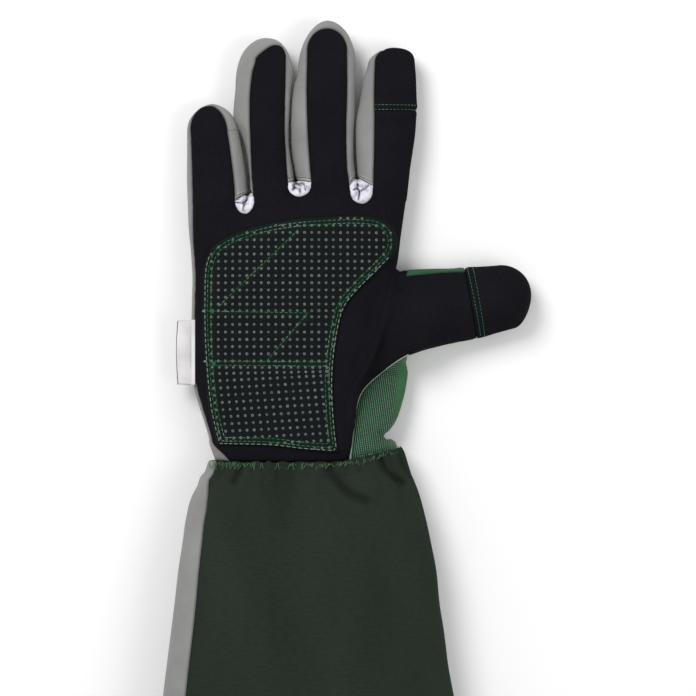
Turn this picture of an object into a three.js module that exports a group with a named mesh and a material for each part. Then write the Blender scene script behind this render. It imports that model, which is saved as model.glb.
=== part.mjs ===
// A right-hand rose pruning gauntlet, lying on its back with the palm up.
// Millimetres, +Z up. The fingers point along +Y and the thumb along +X.
// The hand is one smooth skin of points, cut along its seams into panels.
// Each panel is a thin closed wall, and its inner face lies one wall inside the skin.
// The origin is on the flat underside of the back panel, at the middle of the palm.
import * as THREE from 'three';

// Hand
const PALM_LENGTH = 128; // wrist seam to the roots of the fingers
const PALM_WIDTH = 107; // across the knuckles
const PALM_HEIGHT = 33; // floor to the middle of the palm
const FINGER_HEIGHT = 20.5;
const FINGERTIP_HEIGHT = 16.5;
const THUMB_LENGTH = 66; // from the crotch at the index finger to the tip
const THUMB_WIDTH = 36;
const THUMB_HEIGHT = 23;
const PALM_WAIST = 12; // height of the widest level above the floor
const FINGER_WAIST = 8.5;
const THUMB_WAIST = 9.5;
const BACK_INSET = 3.4; // from the widest level in to the edge of the thumb's back
const WEB_VALLEY = 5; // depth of the hollow below each finger crotch
const VALLEY_WIDTH = 8;
const VALLEY_LENGTH = 20;

// Cloth and leather
const SUEDE_WALL = 1.4;
const CLOTH_WALL = 1.1;
const CUFF_WALL = 1.2;
const PATCH_WALL = 1.5;
const SEAM_GAP = 0.42; // free width between two panels at a seam
const PATCH_GAP = 0.65; // free height under the grip patch

// Cuff
const CUFF_LENGTH = 193;
const CUFF_WIDTH = 155; // near its mouth
const CUFF_WRIST_HEIGHT = 36.8;
const CUFF_MOUTH_HEIGHT = 50;
const CUFF_WAIST = 21; // height of its widest level near the mouth
const CUFF_STRIP_SHARE = 0.86; // where the grey strip starts, as a share of the half width
const GATHER_DEPTH = 1.3; // height of the small folds where the cuff is gathered
const GATHER_COUNT = 11; // over the palm side of the wrist
const GATHER_REACH = 26; // length over which the folds die out
const CUFF_OVERLAP = 1.8; // how far the cuff's edge laps over the wrist's edge
const WRIST_TUCK = CUFF_WALL + 1.0; // how far the wrist's edge draws in, to pass inside the cuff
const TUCK_REACH = 9; // length over which it draws in

// Label
const LABEL_LENGTH = 32;
const LABEL_WIDTH = 7.6;
const LABEL_WALL = 1.0;

// Grid sizes
const PALM_ROWS_BESIDE_THUMB = 8;
const PALM_ROWS_ABOVE_THUMB = 4;
const STRIP_COLUMNS = 4;
const WEB_COLUMNS = 2;
const CAP_ROWS = 4; // rows of a finger from its cap seam to the tip
const THUMB_CAP_ROWS = 3;
const SIDE_BANDS = 2; // bands of the side strip above and below the widest level
const DOME_POWER = 2.4; // how square the palm's dome is
const FLOOR_SHARE = 0.55; // share of the half width that lies flat on the floor

// Palm outline. at: from the wrist 0 to the finger roots 1. left, leather, seam and right are shares
// of PALM_WIDTH from the middle line, and height is a share of PALM_HEIGHT.
const PALM_SECTIONS = [
  { at: 0.0, left: -0.403, leather: -0.385, seam: 0.22, right: 0.467, height: 1.09 },
  { at: 0.096, left: -0.408, leather: -0.389, seam: 0.22, right: 0.432, height: 1.09 },
  { at: 0.192, left: -0.446, leather: -0.428, seam: 0.22, right: 0.47, height: 1.075 },
  { at: 0.264, left: -0.472, leather: -0.453, seam: 0.234, right: 0.497, height: 1.06 },
  { at: 0.364, left: -0.488, leather: -0.467, seam: 0.302, right: 0.508, height: 1.03 },
  { at: 0.502, left: -0.488, leather: -0.469, seam: 0.362, right: 0.52, height: 1.0 },
  { at: 0.617, left: -0.485, leather: -0.467, seam: 0.398, right: 0.51, height: 0.97 },
  { at: 0.705, left: -0.483, leather: -0.465, seam: 0.426, right: 0.48, height: 0.94 },
  { at: 0.816, left: -0.49, leather: -0.472, seam: 0.445, right: 0.472, height: 0.91 },
  { at: 0.908, left: -0.499, leather: -0.476, seam: 0.455, right: 0.481, height: 0.865 },
  { at: 1.0, left: -0.504, leather: -0.481, seam: 0.467, right: 0.495, height: 0.82 },
];
const THUMB_ROOT_AT = 0.705; // where the thumb's upper edge leaves the palm

// Fingers. rootX is a share of PALM_WIDTH and rootY of PALM_LENGTH. In sections, at runs from the
// root 0 to the tip 1, and the edges are shares of the finger's width from its root's middle.
// stripLeft and stripRight bound the black front, left and right the whole finger.
const FINGERS = [
  {
    name: 'pinky', rootX: -0.385, rootY: 0.467, length: 51, width: 23.5, capAt: 0.62,
    shoulder: 0.77, stripShoulder: 0.75, stripTip: 0.965, skew: 0.15,
    sections: [
      { at: 0.0, left: -0.542, stripLeft: -0.43, stripRight: 0.438, right: 0.745 },
      { at: 0.269, left: -0.562, stripLeft: -0.438, stripRight: 0.417, right: 0.68 },
      { at: 0.558, left: -0.562, stripLeft: -0.458, stripRight: 0.344, right: 0.525 },
      { at: 0.75, left: -0.562, stripLeft: -0.469, stripRight: 0.281, right: 0.43 },
      { at: 0.865, left: -0.552, stripLeft: -0.458, stripRight: 0.24, right: 0.39 },
    ],
  },
  {
    name: 'ring', rootX: -0.137, rootY: 0.498, length: 79.4, width: 28.4, capAt: 0.66,
    shoulder: 0.84, stripShoulder: 0.81, stripTip: 0.955, skew: 0.5,
    sections: [
      { at: -0.02, left: -0.312, stripLeft: -0.276, stripRight: 0.362, right: 0.474 },
      { at: 0.123, left: -0.353, stripLeft: -0.293, stripRight: 0.319, right: 0.466 },
      { at: 0.309, left: -0.46, stripLeft: -0.31, stripRight: 0.293, right: 0.42 },
      { at: 0.494, left: -0.59, stripLeft: -0.31, stripRight: 0.293, right: 0.388 },
      { at: 0.617, left: -0.612, stripLeft: -0.31, stripRight: 0.293, right: 0.405 },
      { at: 0.765, left: -0.565, stripLeft: -0.302, stripRight: 0.293, right: 0.422 },
    ],
  },
  {
    name: 'middle', rootX: 0.133, rootY: 0.513, length: 85.8, width: 30.1, capAt: 0.68,
    shoulder: 0.86, stripShoulder: 0.83, stripTip: 0.955, skew: 0.0,
    sections: [
      { at: 0.0, left: -0.484, stripLeft: -0.244, stripRight: 0.358, right: 0.47 },
      { at: 0.109, left: -0.484, stripLeft: -0.244, stripRight: 0.341, right: 0.47 },
      { at: 0.263, left: -0.524, stripLeft: -0.285, stripRight: 0.317, right: 0.445 },
      { at: 0.434, left: -0.56, stripLeft: -0.309, stripRight: 0.309, right: 0.455 },
      { at: 0.594, left: -0.537, stripLeft: -0.325, stripRight: 0.309, right: 0.463 },
      { at: 0.743, left: -0.49, stripLeft: -0.325, stripRight: 0.301, right: 0.463 },
    ],
  },
  {
    name: 'index', rootX: 0.421, rootY: 0.498, length: 74.5, width: 28.9, capAt: 0.605,
    shoulder: 0.86, stripShoulder: 0.85, stripTip: 0.975, skew: 0.0,
    sections: [
      { at: 0.0, left: -0.53, stripLeft: -0.288, stripRight: 0.17, right: 0.271 },
      { at: 0.132, left: -0.538, stripLeft: -0.28, stripRight: 0.205, right: 0.305 },
      { at: 0.329, left: -0.555, stripLeft: -0.271, stripRight: 0.272, right: 0.373 },
      { at: 0.553, left: -0.548, stripLeft: -0.271, stripRight: 0.331, right: 0.432 },
      { at: 0.711, left: -0.508, stripLeft: -0.271, stripRight: 0.341, right: 0.441 },
      { at: 0.842, left: -0.458, stripLeft: -0.263, stripRight: 0.341, right: 0.441 },
    ],
  },
];
const FINGER_ROWS = [5, 7, 8, 6]; // rows of each finger from its root to the cap seam

// Finger crotches, between one finger and the next. X shares are of PALM_WIDTH, Y of PALM_LENGTH.
// rimY is where the black fronts start, mid the lowest point of the rim, slotY where the
// two fingers part at their widest level, and backY the same on the back.
const WEBS = [
  { name: 'web_pinky_ring', slotX: -0.224, rimY: 0.479, midX: -0.247, midY: 0.444, slotY: 0.52, backY: 0.498 },
  { name: 'web_ring_middle', slotX: -0.009, rimY: 0.54, midX: 0.011, midY: 0.509, slotY: 0.57, backY: 0.547 },
  { name: 'web_middle_index', slotX: 0.27, rimY: 0.517, midX: 0.288, midY: 0.482, slotY: 0.559, backY: 0.532 },
];
const SLOT_WIDTH = 0.9; // free width between two fingers where they lie side by side

// Thumb stations, from the thenar seam to the cap seam. X shares are of THUMB_LENGTH and Y shares
// of THUMB_WIDTH, from the crotch at the index finger. up and low bound the black front,
// outUp and outLow the whole thumb. back is how far the back's lower edge lies in from outLow
// towards low, in the fan.
const THUMB_ROOT = { x: 0.4534, y: 0.2259 }; // shares of PALM_WIDTH and PALM_LENGTH
const THUMB_STATIONS = [
  {
    upX: -0.044, upY: -0.082, lowX: -0.378, lowY: -2.586,
    outUpX: -0.004, outUpY: 0.034, outLowX: 0.022, outLowY: -2.586, back: 0,
  },
  {
    upX: -0.007, upY: -0.095, lowX: -0.352, lowY: -2.586,
    outUpX: 0.024, outUpY: 0.007, outLowX: 0.022, outLowY: -2.586, back: 0.65,
  },
  {
    upX: 0.03, upY: -0.088, lowX: -0.33, lowY: -2.3,
    outUpX: 0.052, outUpY: 0.014, outLowX: -0.041, outLowY: -2.273, back: 0.36,
  },
  {
    upX: 0.074, upY: -0.068, lowX: -0.315, lowY: -1.974,
    outUpX: 0.083, outUpY: 0.02, outLowX: 0.011, outLowY: -1.96, back: 0.3,
  },
  {
    upX: 0.126, upY: -0.054, lowX: -0.259, lowY: -1.593,
    outUpX: 0.126, outUpY: 0.027, outLowX: 0.07, outLowY: -1.661, back: 0.3,
  },
  {
    upX: 0.185, upY: -0.041, lowX: -0.096, lowY: -1.32,
    outUpX: 0.185, outUpY: 0.031, outLowX: 0.085, outLowY: -1.375, back: 0.3,
  },
  {
    upX: 0.259, upY: -0.027, lowX: 0.111, lowY: -1.075,
    outUpX: 0.259, outUpY: 0.034, outLowX: 0.115, outLowY: -1.137, back: 0,
  },
  {
    upX: 0.378, upY: -0.007, lowX: 0.341, lowY: -0.953,
    outUpX: 0.378, outUpY: 0.041, outLowX: 0.348, outLowY: -1.014, back: 0,
  },
  {
    upX: 0.504, upY: 0.0, lowX: 0.585, lowY: -0.858,
    outUpX: 0.504, outUpY: 0.054, outLowX: 0.593, outLowY: -0.926, back: 0,
  },
];
const THUMB_FAN = 6; // station where the fan of the thumb's base ends
const THUMB_SHOULDER = { x: 0.79, outUp: 0.075, outLow: -0.822, up: 0.02, low: -0.765, stripTip: 0.965 };

// Grip patch outline: shares of PALM_WIDTH and PALM_LENGTH from the origin.
const PATCH_LEFT = [[-0.362, -0.44], [-0.398, -0.306], [-0.424, -0.084], [-0.43, 0.115], [-0.42, 0.255], [-0.388, 0.325]];
const PATCH_TOP = [[-0.388, 0.325], [-0.302, 0.368], [-0.133, 0.41], [0.087, 0.433], [0.357, 0.433], [0.43, 0.402]];
const PATCH_RIGHT = [
  [0.183, -0.467], [0.169, -0.367], [0.16, -0.184], [0.179, -0.027], [0.215, 0.088],
  [0.284, 0.161], [0.38, 0.241], [0.438, 0.299], [0.448, 0.352], [0.43, 0.402],
];
const PATCH_BOTTOM = [[-0.362, -0.44], [-0.11, -0.444], [0.009, -0.456], [0.183, -0.467]];
const PATCH_COLUMNS = 14;
const PATCH_ROWS = 15;

// Folds pressed into the palm side: from and to are shares of PALM_WIDTH and PALM_LENGTH.
const FOLDS = [
  { fromX: 0.37, fromY: 0.12, toX: 0.23, toY: -0.3, depth: 1.6, width: 4.5 },
  { fromX: 0.41, fromY: -0.36, toX: 0.3, toY: -0.4, depth: 1.5, width: 4.0 },
  { fromX: -0.35, fromY: 0.68, toX: -0.44, toY: 0.68, depth: 0.7, width: 3.5 },
  { fromX: -0.2, fromY: 0.8, toX: -0.09, toY: 0.8, depth: 0.7, width: 3.5 },
  { fromX: 0.08, fromY: 0.84, toX: 0.19, toY: 0.84, depth: 0.7, width: 3.5 },
  { fromX: 0.38, fromY: 0.78, toX: 0.48, toY: 0.78, depth: 0.7, width: 3.5 },
];

// Cuff sections: at from the gathered edge 0 to the mouth 1, edges as shares of CUFF_WIDTH.
const CUFF_SECTIONS = [
  { at: 0.0, left: -0.287, right: 0.338 },
  { at: 0.033, left: -0.289, right: 0.351 },
  { at: 0.115, left: -0.334, right: 0.387 },
  { at: 0.196, left: -0.356, right: 0.414 },
  { at: 0.277, left: -0.371, right: 0.433 },
  { at: 0.359, left: -0.384, right: 0.449 },
  { at: 0.44, left: -0.397, right: 0.465 },
  { at: 0.522, left: -0.411, right: 0.477 },
  { at: 0.603, left: -0.424, right: 0.493 },
  { at: 0.796, left: -0.449, right: 0.522 },
  { at: 1.0, left: -0.468, right: 0.544 },
];
const CUFF_ROWS = [0, 0.02, 0.05, 0.09, 0.13, 0.19, 0.27, 0.38, 0.52, 0.68, 0.84, 1];
const CUFF_FRONT_STEPS = 33;
const CUFF_BACK_STEPS = 15;
const CUFF_STRIP_STEPS = 6;

// Finishes
const FINISHES = {
  suede: { color: 0x1c1b20, roughness: 0.9 },
  grip: { color: 0x1d2120, roughness: 0.75 },
  grey: { color: 0x939392, roughness: 0.7 },
  green: { color: 0x345740, roughness: 0.75 },
  web: { color: 0xc7c5d1, roughness: 0.6 },
  label: { color: 0xe8e6e4, roughness: 0.7 },
  cuff: { color: 0x292f28, roughness: 0.8 },
};

const WRIST_Y = -PALM_LENGTH / 2;
const thumbRoot = { x: THUMB_ROOT.x * PALM_WIDTH, y: THUMB_ROOT.y * PALM_LENGTH };

const lerp = THREE.MathUtils.lerp;
const smooth = (value, from, to) => THREE.MathUtils.smoothstep(value, from, to);

// Reads one column of a table at a place between its rows, as a smooth cubic through the rows.
function readTable(rows, column, at) {
  const last = rows.length - 1;
  if (at <= rows[0].at) return rows[0][column];
  if (at >= rows[last].at) return rows[last][column];
  let i = 0;
  while (rows[i + 1].at < at) i += 1;
  const slope = (k) => {
    const a = rows[Math.max(k - 1, 0)];
    const b = rows[Math.min(k + 1, last)];
    return (b[column] - a[column]) / (b.at - a.at);
  };
  const span = rows[i + 1].at - rows[i].at;
  const t = (at - rows[i].at) / span;
  const t2 = t * t;
  const t3 = t2 * t;
  return (
    (2 * t3 - 3 * t2 + 1) * rows[i][column] +
    (t3 - 2 * t2 + t) * span * slope(i) +
    (3 * t2 - 2 * t3) * rows[i + 1][column] +
    (t3 - t2) * span * slope(i + 1)
  );
}

const palmEdge = (column, at) => readTable(PALM_SECTIONS, column, at) * PALM_WIDTH;
const palmAt = (y) => (y - WRIST_Y) / PALM_LENGTH;

// Depth of the folds and web hollows at a point of the palm side.
function foldDepth(x, y) {
  let depth = 0;
  for (const fold of FOLDS) {
    const ax = fold.fromX * PALM_WIDTH;
    const ay = fold.fromY * PALM_LENGTH;
    const bx = fold.toX * PALM_WIDTH - ax;
    const by = fold.toY * PALM_LENGTH - ay;
    const along = ((x - ax) * bx + (y - ay) * by) / (bx * bx + by * by);
    const near = THREE.MathUtils.clamp(along, 0, 1);
    const distance = Math.hypot(x - ax - near * bx, y - ay - near * by);
    depth += fold.depth * Math.exp(-((distance / fold.width) ** 2));
  }
  return depth;
}

function valleyDepth(x, y) {
  let depth = 0;
  for (const web of WEBS) {
    const rim = web.midY * PALM_LENGTH;
    const middle = lerp(web.midX, web.slotX, smooth(y, rim, rim + 12)) * PALM_WIDTH;
    const across = (x - middle) / VALLEY_WIDTH;
    depth += WEB_VALLEY * Math.exp(-(across ** 2)) * smooth(y, rim - VALLEY_LENGTH, rim + 6);
  }
  return depth;
}

// The palm's dome: how far out a point is (0 in the middle, 1 at the widest edge).
function palmReach(x, y) {
  const at = palmAt(y);
  const left = palmEdge('left', at);
  const right = palmEdge('right', at);
  return Math.min(Math.abs(x - (left + right) / 2) / ((right - left) / 2), 0.985);
}

function domeTop(reach, height, waist, power) {
  return waist + (height - waist) * (1 - reach ** power) ** (1 / power);
}

// The underside is flat up to FLOOR_SHARE of the half width and then curves up to the widest level.
function domeBottom(reach, waist) {
  const past = Math.max(0, (reach - FLOOR_SHARE) / (1 - FLOOR_SHARE));
  return waist * (1 - (1 - past ** 2.2) ** (1 / 2.2));
}

function palmTop(x, y) {
  const height = readTable(PALM_SECTIONS, 'height', palmAt(y)) * PALM_HEIGHT;
  return domeTop(palmReach(x, y), height, PALM_WAIST, DOME_POWER) - valleyDepth(x, y) - foldDepth(x, y);
}

// A finger's edge in the plan: kind is outline, strip or back.
function fingerEdges(finger, kind, at) {
  const middle = finger.rootX * PALM_WIDTH;
  const left = middle + readTable(finger.sections, 'left', at) * finger.width;
  const right = middle + readTable(finger.sections, 'right', at) * finger.width;
  if (kind === 'outline') return [left, right];
  if (kind === 'strip') {
    return [
      middle + readTable(finger.sections, 'stripLeft', at) * finger.width,
      middle + readTable(finger.sections, 'stripRight', at) * finger.width,
    ];
  }
  const inset = 0.1 * (right - left);
  return [left + inset, right - inset];
}

function fingerEnds(finger, kind) {
  if (kind === 'strip') return { shoulder: finger.stripShoulder, tip: finger.stripTip, skew: finger.skew };
  if (kind === 'back') return { shoulder: finger.shoulder - 0.01, tip: 0.95, skew: 0 };
  return { shoulder: finger.shoulder, tip: 1, skew: 0 };
}

// The share of the finger's length at which its front starts, at its left and right edge.
function fingerStarts(index, kind) {
  const finger = FINGERS[index];
  const start = (web) => {
    if (!web) return 0;
    const y = { strip: web.rimY, outline: web.slotY, back: web.backY }[kind] * PALM_LENGTH;
    return (y - finger.rootY * PALM_LENGTH) / finger.length;
  };
  return [start(WEBS[index - 1]), start(WEBS[index])];
}

// Plan point of a finger: row counts from the root to the tip, side runs from -1 to 1 across it.
function fingerPoint(index, kind, row, side) {
  const finger = FINGERS[index];
  const straightRows = FINGER_ROWS[index];
  const [startLeft, startRight] = fingerStarts(index, kind);
  const across = (side + 1) / 2;
  const ends = fingerEnds(finger, kind);
  let at;
  if (row <= straightRows) {
    at = lerp(lerp(startLeft, startRight, across), finger.capAt, row / straightRows);
  } else {
    const leaning = THREE.MathUtils.clamp(side - ends.skew * (1 - side * side), -1, 1);
    const arch = Math.sqrt(Math.max(0, 1 - leaning * leaning));
    const end = ends.shoulder + (ends.tip - ends.shoulder) * arch;
    at = lerp(finger.capAt, end, (row - straightRows) / CAP_ROWS);
  }
  const [left, right] = fingerEdges(finger, kind, Math.min(at, ends.shoulder));
  return { x: lerp(left, right, across), y: finger.rootY * PALM_LENGTH + at * finger.length, at };
}

// How far out a plan point of a finger is, with the round tip counted in.
function fingerReach(finger, x, at) {
  const [left, right] = fingerEdges(finger, 'outline', Math.min(at, finger.shoulder));
  const across = Math.abs(x - (left + right) / 2) / ((right - left) / 2);
  const past = Math.max(0, (at - finger.shoulder) / (1 - finger.shoulder));
  return Math.min(Math.hypot(across, past), 0.985);
}

const fingerBlend = (at) => smooth(at, 0, 0.32);

function fingerHeight(at) {
  return lerp(FINGER_HEIGHT, FINGERTIP_HEIGHT, smooth(at, 0.3, 1));
}

function fingerTop(index, point) {
  const finger = FINGERS[index];
  const own = domeTop(fingerReach(finger, point.x, point.at), fingerHeight(point.at), FINGER_WAIST, 2);
  return lerp(palmTop(point.x, point.y), own - foldDepth(point.x, point.y), fingerBlend(point.at));
}

function fingerBottom(index, point) {
  const own = domeBottom(fingerReach(FINGERS[index], point.x, point.at), FINGER_WAIST);
  return lerp(domeBottom(palmReach(point.x, point.y), PALM_WAIST), own, fingerBlend(point.at));
}

const fingerWaist = (at) => lerp(PALM_WAIST, FINGER_WAIST, fingerBlend(at));

// Lines of the palm from left to right: every finger's columns, with web columns between them.
function palmLines() {
  const lines = [];
  FINGERS.forEach((finger, index) => {
    for (let j = 0; j <= STRIP_COLUMNS; j += 1) {
      lines.push({ finger: index, side: (2 * j) / STRIP_COLUMNS - 1 });
    }
    if (index === FINGERS.length - 1) return;
    for (let j = 1; j < WEB_COLUMNS; j += 1) lines.push({ web: index, share: j / WEB_COLUMNS });
  });
  return lines;
}
const LINES = palmLines();

// Plan point where a line of the palm ends at the roots of the fingers.
function lineEnd(line, kind) {
  if (line.finger !== undefined) return fingerPoint(line.finger, kind, 0, line.side);
  const web = WEBS[line.web];
  const from = fingerPoint(line.web, kind, 0, 1);
  const to = fingerPoint(line.web + 1, kind, 0, -1);
  const sag = Math.sin(Math.PI * line.share);
  const low = kind === 'strip' ? (web.rimY - web.midY) * PALM_LENGTH : SLOT_WIDTH;
  return { x: lerp(from.x, to.x, line.share), y: lerp(from.y, to.y, line.share) - low * sag };
}

// Rows of the palm as shares of its length. The thumb's root is at a row.
function palmRowShares() {
  const shares = [];
  for (let i = 0; i <= PALM_ROWS_BESIDE_THUMB; i += 1) {
    shares.push((THUMB_ROOT_AT * i) / PALM_ROWS_BESIDE_THUMB);
  }
  for (let i = 1; i <= PALM_ROWS_ABOVE_THUMB; i += 1) {
    shares.push(lerp(THUMB_ROOT_AT, 1, i / PALM_ROWS_ABOVE_THUMB));
  }
  return shares;
}
const ROW_SHARES = palmRowShares();

// Left and right edge of the palm's sheet: the front's leather edge, or the back's, set in a little.
function sheetEdges(kind, at) {
  const right = palmEdge('seam', at);
  if (kind === 'strip') return [palmEdge('leather', at), right];
  return [palmEdge('left', at) + 0.05 * PALM_WIDTH, right];
}

function palmPoint(kind, row, column) {
  const share = ROW_SHARES[row];
  const end = lineEnd(LINES[column], kind);
  if (share === 1) return end;
  const [endLeft, endRight] = [lineEnd(LINES[0], kind).x, lineEnd(LINES[LINES.length - 1], kind).x];
  const across = (end.x - endLeft) / (endRight - endLeft);
  const [left, right] = sheetEdges(kind, share);
  const spread = smooth(share, 0.75, 1);
  const x = lerp(lerp(left, right, across), end.x, spread);
  return { x, y: lerp(WRIST_Y + share * PALM_LENGTH, WRIST_Y + share * (end.y - WRIST_Y), smooth(share, 0.7, 1)) };
}

// The thumb's plan point: station counts outwards, side from 0 at its upper edge to 1 at the lower.
const seamPoint = (side) => {
  const at = THUMB_ROOT_AT * (1 - side);
  return { x: palmEdge('seam', at), y: WRIST_Y + at * PALM_LENGTH };
};

function thumbLine(station, kind) {
  const row = THUMB_STATIONS[station];
  const place = (x, y) => ({ x: thumbRoot.x + x * THUMB_LENGTH, y: thumbRoot.y + y * THUMB_WIDTH });
  const outUp = place(row.outUpX, row.outUpY);
  const outLow = place(row.outLowX, row.outLowY);
  if (kind === 'outline') return [outUp, outLow];
  if (kind === 'strip') return [place(row.upX, row.upY), place(row.lowX, row.lowY)];
  const toward = (a, b, share) => ({ x: lerp(a.x, b.x, share), y: lerp(a.y, b.y, share) });
  const inset = BACK_INSET / Math.hypot(outUp.x - outLow.x, outUp.y - outLow.y);
  const up = toward(outUp, outLow, inset);
  if (station >= THUMB_FAN) return [up, toward(outLow, outUp, inset)];
  return [up, toward(outLow, place(row.lowX, row.lowY), row.back)];
}

function thumbPoint(kind, station, side) {
  const seam = seamPoint(side);
  if (station === 0 && kind !== 'outline') return seam;
  const capStation = THUMB_STATIONS.length - 1;
  const [up, low] = thumbLine(Math.min(station, capStation), kind);
  const straight = { x: lerp(up.x, low.x, side), y: lerp(up.y, low.y, side) };
  if (station <= capStation) {
    const bow = kind === 'outline' ? 0 : Math.max(0, 1 - station / THUMB_FAN);
    const [top, bottom] = [seamPoint(0), seamPoint(1)];
    return {
      x: straight.x + bow * (seam.x - lerp(top.x, bottom.x, side)),
      y: straight.y + bow * (seam.y - lerp(top.y, bottom.y, side)),
    };
  }
  const ends = THUMB_SHOULDER;
  const sag = kind === 'back' ? 0.07 : 0;
  const upY = { outline: ends.outUp, strip: ends.up, back: ends.outUp - sag }[kind];
  const lowY = { outline: ends.outLow, strip: ends.low, back: ends.outLow + sag }[kind];
  const tip = { outline: 1, strip: ends.stripTip, back: 0.94 }[kind];
  const arch = Math.sqrt(Math.max(0, 1 - (2 * side - 1) ** 2));
  const end = {
    x: thumbRoot.x + lerp(ends.x, tip, arch) * THUMB_LENGTH,
    y: thumbRoot.y + lerp(upY, lowY, side) * THUMB_WIDTH,
  };
  const share = (station - capStation) / THUMB_CAP_ROWS;
  return { x: lerp(straight.x, end.x, share), y: lerp(straight.y, end.y, share) };
}

// Upper and lower outline of the thumb at a place along it.
const THUMB_OUTLINE = THUMB_STATIONS.slice(THUMB_FAN - 1).map((row) => ({
  at: row.outUpX, up: row.outUpY, low: row.outLowY,
}));
THUMB_OUTLINE.push({ at: THUMB_SHOULDER.x, up: THUMB_SHOULDER.outUp, low: THUMB_SHOULDER.outLow });

function thumbReach(x, y) {
  const at = (x - thumbRoot.x) / THUMB_LENGTH;
  const up = thumbRoot.y + readTable(THUMB_OUTLINE, 'up', at) * THUMB_WIDTH;
  const low = thumbRoot.y + readTable(THUMB_OUTLINE, 'low', at) * THUMB_WIDTH;
  const across = Math.abs(y - (up + low) / 2) / ((up - low) / 2);
  const past = Math.max(0, (at - THUMB_SHOULDER.x) / (1 - THUMB_SHOULDER.x));
  return Math.min(Math.hypot(across, past), 0.985);
}

const thumbBlend = (station) => smooth(station, 0, THUMB_FAN + 1);

function thumbTop(station, point) {
  const own = domeTop(thumbReach(point.x, point.y), THUMB_HEIGHT, THUMB_WAIST, 2);
  return lerp(palmTop(point.x, point.y), own, thumbBlend(station));
}

function thumbBottom(station, point) {
  const own = domeBottom(thumbReach(point.x, point.y), THUMB_WAIST);
  return lerp(domeBottom(palmReach(point.x, point.y), PALM_WAIST), own, thumbBlend(station));
}

const thumbWaist = (station) => lerp(PALM_WAIST, THUMB_WAIST, thumbBlend(station));

// The skin: shared points and four-sided faces, each with the name of its panel.
class Skin {
  constructor() {
    this.points = [];
    this.faces = [];
    this.index = new Map();
  }

  point(x, y, z) {
    const key = [x, y, z].map((value) => Math.round(value * 200)).join(' ');
    if (!this.index.has(key)) {
      this.index.set(key, this.points.length);
      this.points.push(new THREE.Vector3(x, y, z));
    }
    return this.index.get(key);
  }

  // Adds a grid of points, given as rows that run with +Y and columns that run with +X seen from
  // outside, and names each face by its row and column.
  grid(rows, name) {
    const ids = rows.map((row) => row.map((p) => this.point(p.x, p.y, p.z)));
    for (let i = 0; i + 1 < ids.length; i += 1) {
      for (let j = 0; j + 1 < ids[i].length; j += 1) {
        const corners = [ids[i][j], ids[i][j + 1], ids[i + 1][j + 1], ids[i + 1][j]];
        this.faces.push({ corners, panel: name(i, j) });
      }
    }
  }

  triangles(panel) {
    const list = [];
    for (const face of this.faces) {
      if (panel && face.panel !== panel) continue;
      const [a, b, c, d] = face.corners;
      if (a !== b && b !== c && a !== c) list.push([a, b, c]);
      if (a !== c && c !== d && a !== d) list.push([a, c, d]);
    }
    return list;
  }

  normals() {
    const normals = this.points.map(() => new THREE.Vector3());
    const [u, v] = [new THREE.Vector3(), new THREE.Vector3()];
    for (const [a, b, c] of this.triangles()) {
      u.subVectors(this.points[b], this.points[a]);
      v.subVectors(this.points[c], this.points[a]);
      u.cross(v);
      for (const id of [a, b, c]) normals[id].add(u);
    }
    return normals.map((normal) => normal.normalize());
  }
}

// One panel of the skin as a closed thin wall. Its free edge draws back by half a seam gap.
function panelGeometry(skin, normals, panel, wall) {
  const triangles = skin.triangles(panel);
  const used = new Map();
  const edges = new Map();
  for (const triangle of triangles) {
    triangle.forEach((a, k) => {
      if (!used.has(a)) used.set(a, used.size);
      edges.set(`${a} ${triangle[(k + 1) % 3]}`, [a, triangle[(k + 1) % 3]]);
    });
  }
  const rim = [...edges.values()].filter(([a, b]) => !edges.has(`${b} ${a}`));
  const draw = new Map();
  for (const [a, b] of rim) {
    const inward = new THREE.Vector3().subVectors(skin.points[b], skin.points[a]);
    inward.normalize();
    for (const id of [a, b]) {
      const sum = draw.get(id) ?? new THREE.Vector3();
      draw.set(id, sum.add(new THREE.Vector3().crossVectors(normals[id], inward)));
    }
  }
  const positions = [];
  const count = used.size;
  const outer = [...used.keys()].map((id) => {
    const point = skin.points[id].clone();
    if (draw.has(id)) point.addScaledVector(draw.get(id).normalize(), SEAM_GAP / 2);
    return { id, point };
  });
  for (const { point } of outer) positions.push(...point.toArray());
  for (const { id, point } of outer) {
    positions.push(...point.clone().addScaledVector(normals[id], -wall).toArray());
  }
  const indices = [];
  for (const triangle of triangles) {
    const [a, b, c] = triangle.map((id) => used.get(id));
    indices.push(a, b, c, a + count, c + count, b + count);
  }
  for (const edge of rim) {
    const [a, b] = edge.map((id) => used.get(id));
    const [innerA, innerB] = [a + count, b + count];
    // Both panels at a seam split its wall along the same diagonal.
    if (edge[0] < edge[1]) indices.push(b, a, innerA, b, innerA, innerB);
    else indices.push(b, a, innerB, a, innerA, innerB);
  }
  const geometry = new THREE.BufferGeometry();
  geometry.setAttribute('position', new THREE.Float32BufferAttribute(positions, 3));
  geometry.setIndex(indices);
  geometry.computeVertexNormals();
  return geometry;
}

// Front and back sheets of the hand.
const lastColumn = LINES.length - 1;
const lastRow = ROW_SHARES.length - 1;
const thumbStations = THUMB_STATIONS.length - 1 + THUMB_CAP_ROWS;
const thumbSide = (i) => i / PALM_ROWS_BESIDE_THUMB;

function frontPalm(row, column) {
  const p = palmPoint('strip', row, column);
  return { ...p, z: palmTop(p.x, p.y) };
}

function backPalm(row, column) {
  const p = palmPoint('back', row, column);
  return { ...p, z: domeBottom(palmReach(p.x, p.y), PALM_WAIST) };
}

function frontFinger(index, row, side) {
  const p = fingerPoint(index, 'strip', row, side);
  return row === 0 ? { ...p, z: palmTop(p.x, p.y) } : { ...p, z: fingerTop(index, p) };
}

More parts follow.
